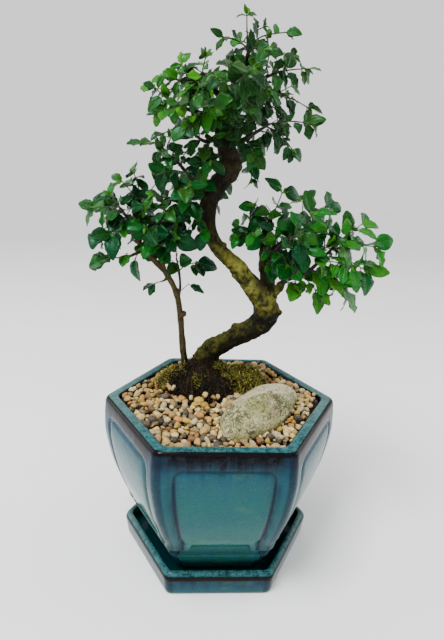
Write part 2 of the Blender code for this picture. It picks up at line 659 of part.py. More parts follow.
def leaf_blade(leaf, grow=0.0, root=0.0):
    """Points and faces of a leaf: an ovate blade that bends down to its pointed tip, thickest
    along the rib that runs under it."""
    place, axes, length, droop = leaf
    half = length * LEAF_WIDTH / 2
    near, far = LEAF_SHOULDER * length, LEAF_WAIST * length
    waist = LEAF_TAPER * half
    outline = [
        (root, 0.0, 0.0), (near, -half, 0.0), (far, -waist, 0.0), (length + grow, 0.0, 0.0),
        (far, waist, 0.0), (near, half, 0.0), (near, 0.0, LEAF_THICK), (far, 0.0, LEAF_THICK * 0.75),
    ]
    points = []
    for x, y, depth in outline:
        y += math.copysign(grow, y) if y else 0.0
        z = grow - depth - (2 * grow if depth else 0.0) - droop * length * (x / length) ** 2
        points.append(place + axes @ Vector((x, y, z)))
    faces = [(0, 1, 5), (5, 1, 2), (5, 2, 4), (4, 2, 3)]
    faces += [(0, 6, 1), (1, 6, 2), (6, 7, 2), (7, 3, 2), (0, 5, 6), (5, 4, 6), (6, 4, 7), (7, 4, 3)]
    return points, faces


class Crowding:
    """What already stands in the tree, so that new twigs and leaves can keep clear of it."""

    def __init__(self):
        self.taken = []

    @staticmethod
    def box(points):
        low = Vector([min(point[k] for point in points) for k in range(3)])
        high = Vector([max(point[k] for point in points) for k in range(3)])
        return low, high

    def add(self, points, faces, owner):
        self.taken.append((*self.box(points), BVHTree.FromPolygons(points, faces), owner))

    def hits(self, points, faces, counts):
        low, high = self.box(points)
        tree = None
        for other_low, other_high, other, owner in self.taken:
            if not counts(owner):
                continue
            if any(high[k] < other_low[k] or low[k] > other_high[k] for k in range(3)):
                continue
            tree = tree or BVHTree.FromPolygons(points, faces)
            if tree.overlap(other):
                return True
        return False


def leaf_fits(crowding, leaf, own):
    """Whether a leaf clears the rest of the tree; near its root only other branches count."""
    if crowding.hits(*leaf_blade(leaf, LEAF_MARGIN, LEAF_ROOT), lambda owner: owner != own):
        return False
    return not crowding.hits(*leaf_blade(leaf, TWIG_MARGIN), lambda owner: owner[0] != own[0])


def twig_fits(crowding, points, radii, own):
    """Whether a twig clears other branches, and past its root the twigs of its own."""
    thick = [radius + TWIG_MARGIN for radius in radii]
    if crowding.hits(*tube(points, thick, TWIG_SIDES), lambda owner: owner[0] != own[0]):
        return False
    rest = tube(points[1:], thick[1:], TWIG_SIDES)
    return not crowding.hits(*rest, lambda owner: owner[0] == own[0] and owner[1] >= 0)


def grow_leaf(crowding, draw, place, way, turn, size, twig, spread, outward):
    """One leaf that clears its neighbours, or None after a few tries."""
    for attempt in range(LEAF_TRIES):
        roll = turn + draw.uniform(-0.35, 0.35) * (1 + attempt)
        side = Matrix.Rotation(roll, 3, way) @ way.orthogonal().normalized()
        lean = math.radians(spread + draw.uniform(-12, 12))
        heading = way * math.cos(lean) + side * math.sin(lean) + DOWN * draw.uniform(*LEAF_HANG)
        heading = heading.normalized()
        up = LEAF_LIGHT + outward * LEAF_OUT
        up += Vector([draw.uniform(-LEAF_STRAY, LEAF_STRAY) for _ in range(3)])
        length = size * draw.uniform(0.85, 1.1) * (1 - 0.03 * attempt)
        leaf = (place, leaf_axes(heading, up), length, draw.uniform(0.02, 0.22))
        if leaf_fits(crowding, leaf, twig):
            return leaf
    return None


def grow_twig(crowding, draw, own, start, way, tip, size, pairs, centre):
    """A twig's path and its leaves, in opposite pairs that turn a quarter each time."""
    shift = Vector((0, 0, 0))
    for attempt in range(TWIG_TRIES):
        points, radii = twig_path(start, way, tip + shift)
        if twig_fits(crowding, points, radii, own):
            break
        shift = Vector([draw.uniform(-1, 1) for _ in range(3)]) * (1.5 + 0.5 * attempt)
    else:
        return None
    crowding.add(*tube(points, radii, TWIG_SIDES), own)
    leaves = []
    pairs = max(1, round(pairs * PAIRS_KEPT))
    turn = draw.uniform(0, math.pi)
    for pair in range(pairs):
        last = pair == pairs - 1
        share = LAST_PAIR if last else FIRST_PAIR + (1 - FIRST_PAIR) * pair / pairs
        place, heading, _ = along(points, radii, share)
        outward = Vector((place.x - centre.x, place.y - centre.y, 0.0))
        outward = outward.normalized() if outward.length > 1 else Vector((0, -1, 0))
        reach = size * TIP_SIZE if last else size
        spread = TIP_SPREAD if last else LEAF_SPREAD
        for side in range(2):
            roll = turn + math.pi * side
            leaf = grow_leaf(crowding, draw, place, heading, roll, reach, own, spread, outward)
            if leaf:
                crowding.add(*leaf_blade(leaf), own)
                leaves.append(leaf)
        turn += math.pi / 2
    return points, radii, leaves


def grow_tree():
    """The paths of all leafy branches, with their twigs and leaves."""
    crowding = Crowding()
    for stem, (stations, sides, spare) in STEMS.items():
        points, radii = smooth_path(stations, 2)
        crowding.add(*tube(points, [radius + spare for radius in radii], sides), (stem, -1))
    paths = {name: smooth_path(stations, 2) for name, (_, stations, _) in BRANCHES.items()}
    for name, path in paths.items():
        crowding.add(*tube(*path, BRANCH_SIDES), (name, -1))
    grown = {}
    for order, (name, (_, _, twigs)) in enumerate(BRANCHES.items()):
        draw = random.Random(SEED + order)
        points, radii = paths[name]
        sprays = []
        for index, (share, tip, size, pairs) in enumerate(twigs):
            start, way, _ = along(points, radii, share)
            if share == 1.0:
                start = start - way * 0.5
            spray = grow_twig(crowding, draw, (name, index), start, way, Vector(tip), size, pairs, points[0])
            if spray:
                sprays.append(spray)
        grown[name] = (points, radii, sprays)
    return grown


def seated(points, radii, carrier):
    """A branch's path from where it leaves the piece that carries it, a small gap away."""
    tree = BVHTree.FromPolygons(
        [vertex.co / MM for vertex in carrier.data.vertices],
        [tuple(face.vertices) for face in carrier.data.polygons],
    )
    total = sum((points[k + 1] - points[k]).length for k in range(len(points) - 1))
    share = 0.0
    while share < 0.8:
        place, way, radius = along(points, radii, share)
        side = way.orthogonal().normalized()
        clear = True
        for k in range(8):
            rim = place + Matrix.Rotation(math.pi * k / 4, 3, way) @ side * radius
            near, normal, _, distance = tree.find_nearest(rim)
            if (rim - near).dot(normal) < 0 or distance < GAP:
                clear = False
                break
        if clear:
            break
        share += 0.1 / total
    kept = [(place, radius)]
    walked = 0.0
    for k in range(1, len(points)):
        walked += (points[k] - points[k - 1]).length
        if walked > share * total + 0.8:
            kept.append((points[k], radii[k]))
    return [item[0] for item in kept], [item[1] for item in kept]


def build_branch(name, carrier, grown, material):
    """A leafy branch: wood, twigs and leaves fused into one solid."""
    points, radii, sprays = grown
    points, radii = seated(points, radii, carrier)
    branch = solid("leaves_" + name, *tube(points, radii, BRANCH_SIDES))
    parts = []
    for twig_points, twig_radii, leaves in sprays:
        parts.append(solid("twig", *tube(twig_points, twig_radii, TWIG_SIDES)))
        parts += [solid("leaf", *leaf_blade(leaf)) for leaf in leaves]
    combine(branch, parts)
    return shade(branch, material, 25)


def main():
    """Builds every piece, from the saucer up."""
    empty_scene()
    build_saucer()
    build_pot()
    build_soil()
    build_gravel()
    build_stone()
    for name in MOSS:
        build_moss(name)
    carriers = {"trunk": build_trunk(), "side_stem": build_side_stem()}
    green = finish("leaf_green", (0.03, 0.16, 0.03), 0.35)
    for name, grown in grow_tree().items():
        build_branch(name, carriers[BRANCHES[name][0]], grown, green)


main()
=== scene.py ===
import math
import random

import bmesh
import bpy
import numpy as np
from mathutils import Matrix, Vector, noise
from mathutils.bvhtree import BVHTree


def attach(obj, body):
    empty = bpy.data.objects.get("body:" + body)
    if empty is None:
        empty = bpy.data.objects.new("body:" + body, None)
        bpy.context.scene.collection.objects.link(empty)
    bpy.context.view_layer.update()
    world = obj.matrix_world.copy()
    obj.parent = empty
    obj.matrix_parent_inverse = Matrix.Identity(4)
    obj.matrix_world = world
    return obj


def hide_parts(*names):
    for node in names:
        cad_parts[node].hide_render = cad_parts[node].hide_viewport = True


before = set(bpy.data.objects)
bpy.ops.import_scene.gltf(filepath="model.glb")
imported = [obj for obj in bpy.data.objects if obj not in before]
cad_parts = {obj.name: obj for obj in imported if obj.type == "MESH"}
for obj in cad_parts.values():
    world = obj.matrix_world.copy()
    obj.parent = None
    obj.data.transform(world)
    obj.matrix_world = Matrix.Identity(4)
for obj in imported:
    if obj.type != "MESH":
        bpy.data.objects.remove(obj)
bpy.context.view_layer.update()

# A Chinese privet bonsai in a glazed hexagonal pot on its saucer.
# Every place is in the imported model's frame. Lengths are in millimetres and scaled once, when a
# mesh is made. The tree's tables and its growth are the ones that the solids were made with, so
# each fine leaf takes the place of a faceted one, and more leaves are grown between them.

MM = 0.001
HALF_CORNER = math.radians(30)
COS_HALF = math.cos(HALF_CORNER)
WHOLE_TURN = 6.28  # radians, as near as random turns need it
HALF_TURN = 3.14

# Camera, worked out from the corners of the rim and of the saucer
CAMERA_PLACE = (-21.1, -337.0, 302.0)
CAMERA_FORWARD = Vector((0.0547, 0.9495, -0.309))
CAMERA_RIGHT = Vector((0.9982, -0.0449, 0.039))
CAMERA_LENS = 26.72

# Lamps: place in metres, size and power
LAMPS = {
    "key": ((-0.4, -0.4, 1.3), 0.5, 24.0),
    "left": ((-1.3, 0.3, 0.6), 0.9, 6.0),
    "right": ((1.3, 0.2, 0.6), 0.9, 6.0),
}
LAMP_AIM = Vector((0, 0, 0.2))
FLOOR_FLAT = 1.8  # metres from the middle to where the floor starts to sweep up
FLOOR_SIDES = 72

# Saucer and pot. A hexagon's radius is at its corners, before they are rounded.
# The saucer's rings from below: radius, height, how far the dark edge shows, and 1 inside
SAUCER_RINGS = (
    (73.6, 0.0, 0.0, 0), (74.8, 0.25, 0.2, 0), (75.6, 1.2, 0.1, 0), (76.0, 3.5, 0.0, 0), (76.4, 7.0, 0.0, 0),
    (76.9, 10.5, 0.1, 0), (77.2, 12.8, 0.5, 0), (77.45, 14.4, 0.9, 0), (77.5, 15.4, 1.0, 0),
    (77.4, 16.3, 1.0, 0), (77.1, 17.2, 0.7, 0), (76.5, 18.1, 0.2, 0), (75.7, 19.0, 0.0, 0),
    (74.7, 19.6, 0.0, 0), (73.6, 19.85, 0.0, 0), (72.7, 19.7, 0.1, 0), (71.9, 19.1, 0.4, 0),
    (71.5, 18.2, 0.5, 0), (71.3, 16.8, 0.2, 1), (70.8, 14.0, 0.0, 1), (70.2, 11.0, 0.0, 1),
    (69.7, 9.0, 0.0, 1), (69.2, 7.9, 0.0, 1), (68.0, 7.15, 0.0, 1), (66.0, 7.0, 0.0, 1),
    (50.0, 7.0, 0.0, 1), (20.0, 7.0, 0.0, 1),
)
SAUCER_FILLET = 6.0
SAUCER_STATIONS = 41  # along the flat part of each side
SAUCER_HALF_SIDE = 38
POT_FILLET = 7.0
POT_STATIONS = 57
POT_HALF_SIDE = 46
FLAT_REACH = 0.885  # share of a side's half that is flat, before its rounded corner
FOOT_LOW = 7.35
FOOT_HIGH = 30
FOOT_RADIUS = 57.0
FOOT_FLARE = 12.5  # how much the radius grows up to its top
# The foot's edge under the skirt: radius, height and how far the dark edge shows
FOOT_EDGE = ((69.4, 29.4, 0.6), (69.6, 30.1, 1.0), (69.0, 31.0, 0.7), (67.4, 32.0, 0.1))
SKIRT_POST = 38.0  # height of its lower edge at the posts, and under the arches
SKIRT_ARCH = 45.0
SKIRT_RADIUS = 74.3
SKIRT_FLARE = 0.26
SKIRT_ROUND = 0.9
ARCH_END = 0.52  # shares of a side's half, where the arch comes down
ARCH_FOOT = 0.63
# The skirt's lower edge from within: how far in from its face, how far up, and the dark edge
SKIRT_EDGE = ((5.0, 0.0, 0.0), (3.4, -0.25, 0.3), (1.6, -0.2, 0.8), (0.5, 0.15, 1.0))
# The side's height and radius, from the posts up to the rim
POT_SIDE = [(38, 74.3), (45, 76.1), (54, 80), (74, 87), (98, 91.8), (114.6, 92), (120, 91.5)]
SIDE_TOP = 117.0
SIDE_ROWS = 62
PANEL_EDGE = 0.715  # share of a side's half
PANEL_TOP = 115.4
PANEL_CORNER = 6.0
PANEL_SWELL = 0.35
GROOVE_DEPTH = 1.25
GROOVE_WIDTH = 1.5
# The rim's rings, over from the side to the inside: radius, height and the dark edge
RIM_RINGS = (
    (91.7, 119.0, 0.0), (91.5, 121.5, 0.1), (91.3, 123.6, 0.2), (91.1, 125.2, 0.35),
    (90.8, 126.4, 0.6), (90.3, 127.4, 0.9), (89.6, 128.2, 1.0), (88.7, 128.8, 0.8),
    (87.6, 129.15, 0.35), (86.0, 129.3, 0.05), (84.0, 129.3, 0.0), (82.5, 129.25, 0.1),
    (81.5, 129.0, 0.5), (80.4, 128.4, 1.0), (79.8, 126.9, 0.9), (79.75, 125.0, 0.4),
)
# The inside's radius and height, down to its floor
INSIDE_RINGS = (
    (79.7, 122), (79.6, 116), (79.3, 100), (79.0, 80), (69.5, 56), (63, 44), (60, 33), (52.6, 17),
    (50.5, 16.0),
)
INNER_RADIUS = 79.4
DRAIN_RADIUS = 6.0

# What fills the pot
SOIL_TOP = 117.0
MOUND = ((-14.0, 33.0, 117.0), (35.0, 31.0, 26.0))
GRAVEL_HEAP = 4.0
HEAP_BACK = (5.0, 60.0)
HEAP_SIDE = (40.0, 68.0)
HEAP_FRONT = (-45.0, -10.0)
BED_STATIONS = 21
GRAVEL_LOW = 120.6
BANK = 2.0  # how much higher the gravel lies along the wall
BANK_SIDE = (56, 67)
BANK_FRONT = (-50, -20)
STONE = ((30.5, -13.5, 123.5), (46.5, 20.5, 14.0), 54.0)
STONE_LOW = 117.5
CRUMBS = 2600
OLD_ROOTS = 190
SPRIGS_ON_SOIL = 1500
SPRIGS_ON_BARK = 240
# Cushions: place, size, number of sprigs and how dry they are
MOSS = {
    "moss_left": ((-41.0, 34.0, 119.0), (13.5, 15.5, 15.0), 620, 0.55),
    "moss_right": ((20.0, 36.0, 119.0), (19.5, 20.0, 18.0), 1100, 0.35),
}

# Wood: x, y, z and radius at points chosen along each stem
TRUNK = [
    (-13, 34, 104, 9.0), (-13, 34, 130, 9.4), (-14, 34, 146, 9.2), (-7, 32, 156.5, 8.6), (6, 28, 166, 8.0),
    (18, 22, 175.5, 8.1), (28, 17, 183.5, 9.0), (33, 14, 192, 9.7), (32, 12, 202, 9.7), (25, 11, 211, 8.0),
    (15, 10, 223, 6.8), (6, 10, 233, 5.8), (-3.6, 10, 242, 5.2), (-11, 12, 252, 5.2), (-14, 14, 263, 5.3),
    (-14.2, 16, 275, 6.0), (-8.8, 16, 287, 6.4), (0, 14, 301, 7.8), (-3, 12, 314, 6.3), (-7, 10, 325, 4.4),
    (-6, 8, 336, 3.3), (-2, 5, 347, 2.7), (4, 2, 358, 2.1), (7, 1, 365, 1.8),
]
LIMB = [
    (34, 12, 204, 6.5), (33, 16, 218, 5.4), (30.4, 18, 231, 4.8), (30, 19, 241, 4.4), (29, 20, 250, 3.6),
    (31, 18, 261, 2.6),
]
ROOTS = [
    [(-13, 34, 143, 7.0), (-28, 28, 139, 4.4), (-38, 25, 131, 2.6)],
    [(-13, 34, 142, 6.5), (-17, 18, 139, 4.0), (-19, 9, 131, 2.4)],
    [(-12, 34, 143, 6.5), (2, 28, 139, 4.2), (11, 23, 131, 2.4)],
    [(-13, 34, 142, 6.0), (-8, 46, 139, 4.0), (-3, 54, 131, 2.4)],
]
KNOTS = [
    ((10.9, 25.9, 178.6), 2.8), ((41, 8, 197.5), 2.7), ((-2.4, 8.5, 246.5), 3.1), ((4.5, 8, 302), 4.5),
    ((30.5, 3.4, 205.5), 2.5),
]
SIDE_STEM = [
    (-30, 36, 112, 3.1), (-30, 36, 141, 3.0), (-32, 34, 161, 2.7), (-34, 30, 187, 2.5), (-37, 24, 206, 2.3),
    (-41, 20, 216, 2.2), (-45, 16, 224, 2.1), (-52, 10, 233, 2.0), (-61, 4, 244, 1.8), (-66, 0, 256, 1.5),
]
STEM_KNOT = ((-31.5, 30, 187), 2.7)
TRUNK_SIDES = 9
LIMB_SIDES = 8
STEM_SIDES = 6
BRANCH_SIDES = 4

# Stems that twigs and leaves keep clear of, with the room that they leave
STEMS = {
    "trunk": (TRUNK, TRUNK_SIDES, 0.8),
    "limb": (LIMB, LIMB_SIDES, 0.4),
    "side_stem": (SIDE_STEM, STEM_SIDES, 0.3),
}

# Leafy branches: what carries each, its points, and its twigs as
# (share of the way along the branch, tip, leaf length, pairs of leaves)
BRANCHES = {
    "apex": ("trunk", [(7, 1, 364, 1.7), (8, 0, 371, 1.4), (7, 1, 379, 1.0)], [
        (1.0, (6, 0, 391), 8, 2), (0.55, (-8, -6, 377), 11, 3), (0.9, (17, 4, 386), 8, 2),
        (0.65, (31, 0, 383), 12, 3), (0.4, (17, -15, 370), 12, 3), (0.45, (0, 17, 374), 12, 3)]),
    "crown_high_right": ("trunk", [
        (-3, 5, 346, 2.2), (8, -2, 352, 1.8), (19, -6, 356, 1.4), (27, -8, 359, 1.0)], [
        (1.0, (44, -6, 362), 14, 3), (0.8, (37, 0, 370), 8, 3), (0.65, (20, -12, 369), 12, 3),
        (0.55, (19, -24, 347), 13, 3), (0.3, (5, -12, 360), 12, 3)]),
    "crown_mid_right": ("trunk", [
        (-6, 9, 332, 2.4), (7, 14, 341, 1.9), (20, 16, 346, 1.4), (31, 16, 349, 1.0)], [
        (1.0, (51, 12, 342), 16, 3), (0.75, (42, 28, 357), 12, 3), (0.6, (32, 6, 338), 13, 3),
        (0.4, (20, 32, 339), 12, 3)]),
    "crown_low_right": ("trunk", [
        (-3, 12, 315, 2.4), (6, 4, 318, 2.0), (16, -4, 324, 1.5), (24, -8, 329, 1.0)], [
        (1.0, (51, -8, 330), 13, 4), (0.9, (38, -14, 314), 12, 3), (0.75, (31, 4, 320), 14, 3),
        (0.45, (14, -12, 308), 12, 3), (0.3, (2, -16, 329), 13, 3)]),
    "crown_high_left": ("trunk", [
        (-5, 6, 343, 2.2), (-14, 2, 349, 1.8), (-24, -2, 353, 1.3), (-33, -4, 352, 1.0)], [
        (1.0, (-44, -2, 354), 11, 3), (0.8, (-34, 6, 363), 11, 3), (0.55, (-19, -6, 365), 12, 3),
        (0.5, (-25, -15, 342), 14, 3)]),
    "crown_mid_left": ("trunk", [
        (-7, 9, 331, 2.4), (-18, -2, 333, 1.9), (-29, -8, 335, 1.4), (-39, -10, 338, 1.0)], [
        (1.0, (-50, -6, 347), 12, 4), (0.85, (-47, -12, 332), 12, 3), (0.55, (-30, -20, 325), 14, 3),
        (0.35, (-14, -22, 338), 16, 3)]),
    "crown_low_left": ("trunk", [
        (-6, 11, 321, 2.0), (-17, 6, 317, 1.5), (-25, 2, 321, 1.2), (-31, 0, 325, 1.0)], [
        (1.0, (-45, 2, 321), 12, 2), (0.6, (-20, 8, 330), 12, 3), (0.3, (-14, -6, 305), 14, 3)]),
    "crown_back": ("trunk", [
        (-7, 10, 328, 2.4), (-3, 26, 338, 1.9), (1, 38, 349, 1.4), (4, 44, 357, 1.0)], [
        (1.0, (6, 48, 371), 12, 3), (0.75, (20, 54, 353), 13, 3), (0.6, (-14, 48, 340), 13, 3),
        (0.4, (14, 28, 328), 12, 3)]),
    "crown_back_left": ("trunk", [
        (-6, 8, 337, 2.2), (-15, 24, 345, 1.8), (-25, 34, 349, 1.3), (-33, 40, 351, 1.0)], [
        (1.0, (-46, 42, 353), 12, 3), (0.7, (-25, 42, 362), 12, 3), (0.45, (-33, 20, 341), 13, 2)]),
    "crown_front": ("trunk", [
        (-5, 6, 342, 2.2), (-2, -10, 346, 1.8), (1, -22, 349, 1.3), (3, -30, 351, 1.0)], [
        (1.0, (8, -40, 355), 12, 3), (0.7, (-12, -29, 351), 13, 3), (0.55, (9, -31, 336), 13, 3)]),
    "burl_back": ("trunk", [(-1, 14, 307, 1.8), (8, 25, 309, 1.4), (14, 31, 307, 1.1)], [
        (1.0, (18, 33, 294), 12, 3), (0.5, (20, 26, 317), 12, 3), (0.7, (0, 40, 312), 12, 2)]),
    "mid_left_long": ("trunk", [
        (-13, 15, 270, 2.2), (-20, 10, 285, 1.8), (-28, 6, 294, 1.5), (-36, 4, 303, 1.3), (-44, 2, 309, 1.1),
        (-50, 0, 318, 0.9)], [
        (1.0, (-56, -2, 326), 10, 3), (0.8, (-40, -6, 318), 14, 2), (0.6, (-30, 12, 311), 14, 3),
        (0.5, (-44, -6, 297), 16, 3), (0.25, (-19, -2, 304), 15, 3)]),
    "mid_left_low": ("trunk", [
        (-14, 14, 263, 2.0), (-23, 8, 269, 1.6), (-31, 4, 275, 1.3), (-40, 2, 278, 1.0)], [
        (1.0, (-52, -4, 282), 20, 2), (0.6, (-29, -10, 288), 18, 3), (0.5, (-36, 0, 262), 20, 2),
        (0.3, (-19, -2, 258), 16, 2)]),
    "mid_back": ("trunk", [(-13, 17, 272, 2.0), (-16, 30, 280, 1.5), (-20, 40, 288, 1.0)], [
        (1.0, (-26, 50, 292), 17, 3), (0.6, (-4, 38, 290), 16, 3), (0.7, (-36, 34, 286), 16, 3)]),
    "left_top": ("side_stem", [(-65, 1, 254, 1.4), (-69, -2, 264, 1.2), (-74, -4, 272, 1.0)], [
        (1.0, (-80, -4, 280), 13, 3), (0.8, (-90, -8, 272), 15, 3), (0.5, (-85, -7, 258), 21, 2),
        (0.3, (-78, -16, 256), 21, 2), (0.6, (-80, 12, 268), 18, 2)]),
    "left_low_twig": ("side_stem", [(-43, 18, 220, 1.0), (-45.5, 16.8, 217.6, 0.9), (-48, 16, 216.8, 0.7)], [
        (1.0, (-52, 14, 216), 14, 1)]),
    "left_reach": ("side_stem", [(-60, 5, 242, 1.2), (-68, -2, 239, 1.0), (-76, -6, 238, 0.8)], [
        (1.0, (-82, -8, 239), 20, 2)]),
    "left_up": ("side_stem", [
        (-62, 3, 246, 1.3), (-62, 9, 257, 1.1), (-63, 11, 268, 1.0), (-62, 11, 277, 0.9)], [
        (1.0, (-66, 8, 294), 18, 3), (0.8, (-74, 4, 290), 16, 2), (0.75, (-51, 16, 289), 17, 3)]),
    "left_fork": ("side_stem", [
        (-45, 16, 224, 1.5), (-48, 10, 237, 1.2), (-50, 7, 247, 1.0), (-48, 4, 258, 0.9)], [
        (1.0, (-45, 0, 272), 20, 2), (0.55, (-56, -8, 260), 21, 2), (0.5, (-38, -5, 253), 20, 2)]),
    "left_shoot": ("side_stem", [
        (-36, 26, 199, 1.2), (-34, 24, 210, 1.1), (-35, 22, 225, 1.0), (-37, 20, 234, 0.9)], [
        (1.0, (-36, 18, 250), 18, 2), (0.7, (-23, 15, 232), 21, 2)]),
    "left_back": ("side_stem", [(-52, 10, 233, 1.4), (-57, 22, 243, 1.1), (-61, 31, 255, 0.9)], [
        (1.0, (-58, 34, 271), 18, 3), (0.7, (-46, 34, 250), 18, 2), (0.8, (-76, 34, 254), 18, 2)]),
    "right_top": ("trunk", [(31, 18, 258, 2.4), (32, 17, 266, 1.9), (35, 16, 273, 1.4)], [
        (1.0, (39, 16, 285), 17, 3), (0.3, (20, 12, 276), 15, 3), (0.7, (46, 6, 273), 18, 3)]),
    "right_left": ("trunk", [(29, 20, 246, 1.8), (22, 15, 252, 1.3), (16, 11, 256, 1.0)], [
        (1.0, (8, 7, 254), 12, 3), (0.5, (16, 20, 266), 16, 3), (0.7, (18, -2, 258), 14, 2)]),
    "right_front": ("trunk", [
        (29, 18, 234, 2.0), (34, 6, 243, 1.6), (40, -4, 252, 1.3), (48, -10, 258, 1.0)], [
        (1.0, (55, -14, 273), 20, 3), (0.7, (52, -18, 249), 20, 3), (0.45, (42, -10, 238), 18, 3)]),
    "right_back": ("trunk", [
        (30, 19, 239, 2.0), (39, 28, 244, 1.6), (52, 34, 252, 1.3), (67, 36, 258, 1.0)], [
        (1.0, (79, 36, 273), 20, 3), (0.7, (60, 40, 278), 17, 3), (0.55, (61, 46, 243), 18, 3),
        (0.35, (32, 44, 254), 15, 2)]),
    "right_reach": ("trunk", [
        (35, 12, 207, 3.4), (43, 8, 220, 2.6), (48, 4, 225, 2.2), (56, -2, 229, 2.0), (64, -6, 238, 1.7),
        (71, -8, 247, 1.4), (77, -9, 254, 1.1)], [
        (1.0, (93, -6, 267), 15, 3), (0.9, (100, -15, 253), 21, 3), (0.8, (95, -18, 237), 20, 2),
        (0.7, (84, -26, 241), 22, 2), (0.6, (83, -12, 223), 23, 2), (0.45, (64, -8, 220), 22, 2),
        (0.75, (69, 4, 262), 18, 3), (0.85, (84, 10, 250), 20, 2)]),
}

# Twigs
TWIG_RADIUS = (0.85, 0.6)
TWIG_SIDES = 3
TWIG_PIECE = 13.0
TWIG_BEND = 0.45  # how much a twig sets off along its branch before it turns to its tip
TWIG_MARGIN = 0.12
TWIG_TRIES = 12
FIRST_PAIR = 0.3  # share of the twig below its first pair of leaves, and below its last
LAST_PAIR = 0.985

# Leaves as the solids have them, by which each finds its room: widest at the shoulder, narrowing
# past the waist, with sharp margins
SEED = 20
LEAF_THICK = 1.3  # at the rib
LEAF_WIDTH = 0.72
LEAF_SHOULDER = 0.3
LEAF_WAIST = 0.68
LEAF_TAPER = 0.72
LEAF_LIGHT = Vector((0.05, -0.75, 0.6))  # the light that the leaves' upper sides turn to
LEAF_OUT = 0.55  # how much they turn out of the crown instead
LEAF_STRAY = 0.4
LEAF_HANG = (0.15, 0.6)
LEAF_SPREAD = 62.0  # degrees from the twig, and for the pair at its tip
TIP_SPREAD = 40.0
TIP_SIZE = 0.85
LEAF_MARGIN = 0.3
LEAF_ROOT = 2.4
LEAF_TRIES = 9
PAIRS_KEPT = 0.51  # share of the pairs listed above that the solids have too; more_leaves adds others
DOWN = Vector((0, 0, -1))


def share_of(span, value):
    """How far a value is along a span, 0 before it and 1 after it."""
    return min(1.0, max(0.0, (value - span[0]) / (span[1] - span[0])))


def heaped(x, y):
    """How much higher the gravel lies at a place than in the middle of the pot."""
    side = share_of(HEAP_SIDE, abs(x)) * share_of(HEAP_FRONT, y)
    share = max(share_of(HEAP_BACK, y), side)
    return GRAVEL_HEAP * share * share * (3 - 2 * share)


def stack(rings):
    """Points and faces of a closed solid through rings of equal length, first to last."""
    count = len(rings[0])
    points = [point for ring in rings for point in ring]
    faces = [tuple(reversed(range(count)))]
    for level in range(len(rings) - 1):
        for index in range(count):
            after = (index + 1) % count
            low, high = level * count, (level + 1) * count
            faces.append((low + index, low + after, high + after, high + index))
    faces.append(tuple(range((len(rings) - 1) * count, len(rings) * count)))
    return points, faces


def smooth_path(stations, pieces):
    """Points and radii along a smooth curve through (x, y, z, radius) stations."""
    ends = [stations[0]] + list(stations) + [stations[-1]]
    path = []
    for index in range(len(stations) - 1):
        a, b, c, d = ends[index:index + 4]
        for piece in range(pieces):
            t = piece / pieces
            path.append([
                0.5 * (2 * b[k] + (c[k] - a[k]) * t + (2 * a[k] - 5 * b[k] + 4 * c[k] - d[k]) * t * t
                       + (3 * b[k] - a[k] - 3 * c[k] + d[k]) * t ** 3)
                for k in range(4)
            ])
    path.append(list(stations[-1]))
    return [Vector(point[:3]) for point in path], [point[3] for point in path]


def tube(points, radii, sides):
    """Points and faces of a closed round tube."""
    rings = []
    side = None
    for index, point in enumerate(points):
        ahead = points[min(index + 1, len(points) - 1)]
        behind = points[max(index - 1, 0)]
        way = (ahead - behind).normalized()
        if side is None:
            side = way.orthogonal().normalized()
        side = (side - way * side.dot(way)).normalized()
        across = way.cross(side)
        ring = []
        for k in range(sides):
            angle = 2 * math.pi * k / sides
            ring.append(point + (side * math.cos(angle) + across * math.sin(angle)) * radii[index])
        rings.append(ring)
    return stack(rings)


def steps(points):
    """The lengths of a path from point to point."""
    return [(points[k + 1] - points[k]).length for k in range(len(points) - 1)]


def along(points, radii, share):
    """Place, direction and radius at a share of a path's length."""
    lengths = steps(points)
    left = share * sum(lengths)
    for k, length in enumerate(lengths):
        if left <= length or k == len(lengths) - 1:
            t = min(1.0, left / length)
            place = points[k].lerp(points[k + 1], t)
            return place, (points[k + 1] - points[k]).normalized(), radii[k] + (radii[k + 1] - radii[k]) * t
        left -= length


def twig_path(start, way, tip):
    """A twig's points: it leaves along the branch and bends over to its tip."""
    span = (tip - start).length
    middle = start + (way * TWIG_BEND + (tip - start).normalized() * (1 - TWIG_BEND)) * span / 2
    count = max(2, round(span / TWIG_PIECE))
    points = []
    for k in range(count + 1):
        t = k / count
        points.append(start * (1 - t) ** 2 + middle * 2 * t * (1 - t) + tip * t * t)
    thick, thin = TWIG_RADIUS
    return points, [thick + (thin - thick) * k / count for k in range(count + 1)]


def leaf_axes(way, up):
    """Rotation whose X runs along the leaf and whose Z is its upper side."""
    across = up.cross(way).normalized()
    return Matrix((way, across, way.cross(across))).transposed()


def leaf_blade(leaf, grow=0.0, root=0.0):
    """Points and faces of a leaf: an ovate blade that bends down to its pointed tip, thickest
    along the rib that runs under it."""
    place, axes, length, droop = leaf
    half = length * LEAF_WIDTH / 2
    near, far = LEAF_SHOULDER * length, LEAF_WAIST * length
    waist = LEAF_TAPER * half
    outline = [
        (root, 0.0, 0.0), (near, -half, 0.0), (far, -waist, 0.0), (length + grow, 0.0, 0.0),
        (far, waist, 0.0), (near, half, 0.0), (near, 0.0, LEAF_THICK), (far, 0.0, LEAF_THICK * 0.75),
    ]
    points = []
    for x, y, depth in outline:
        y += math.copysign(grow, y) if y else 0.0
        z = grow - depth - (2 * grow if depth else 0.0) - droop * length * (x / length) ** 2
        points.append(place + axes @ Vector((x, y, z)))
    faces = [(0, 1, 5), (5, 1, 2), (5, 2, 4), (4, 2, 3)]
    faces += [(0, 6, 1), (1, 6, 2), (6, 7, 2), (7, 3, 2), (0, 5, 6), (5, 4, 6), (6, 4, 7), (7, 4, 3)]
    return points, faces


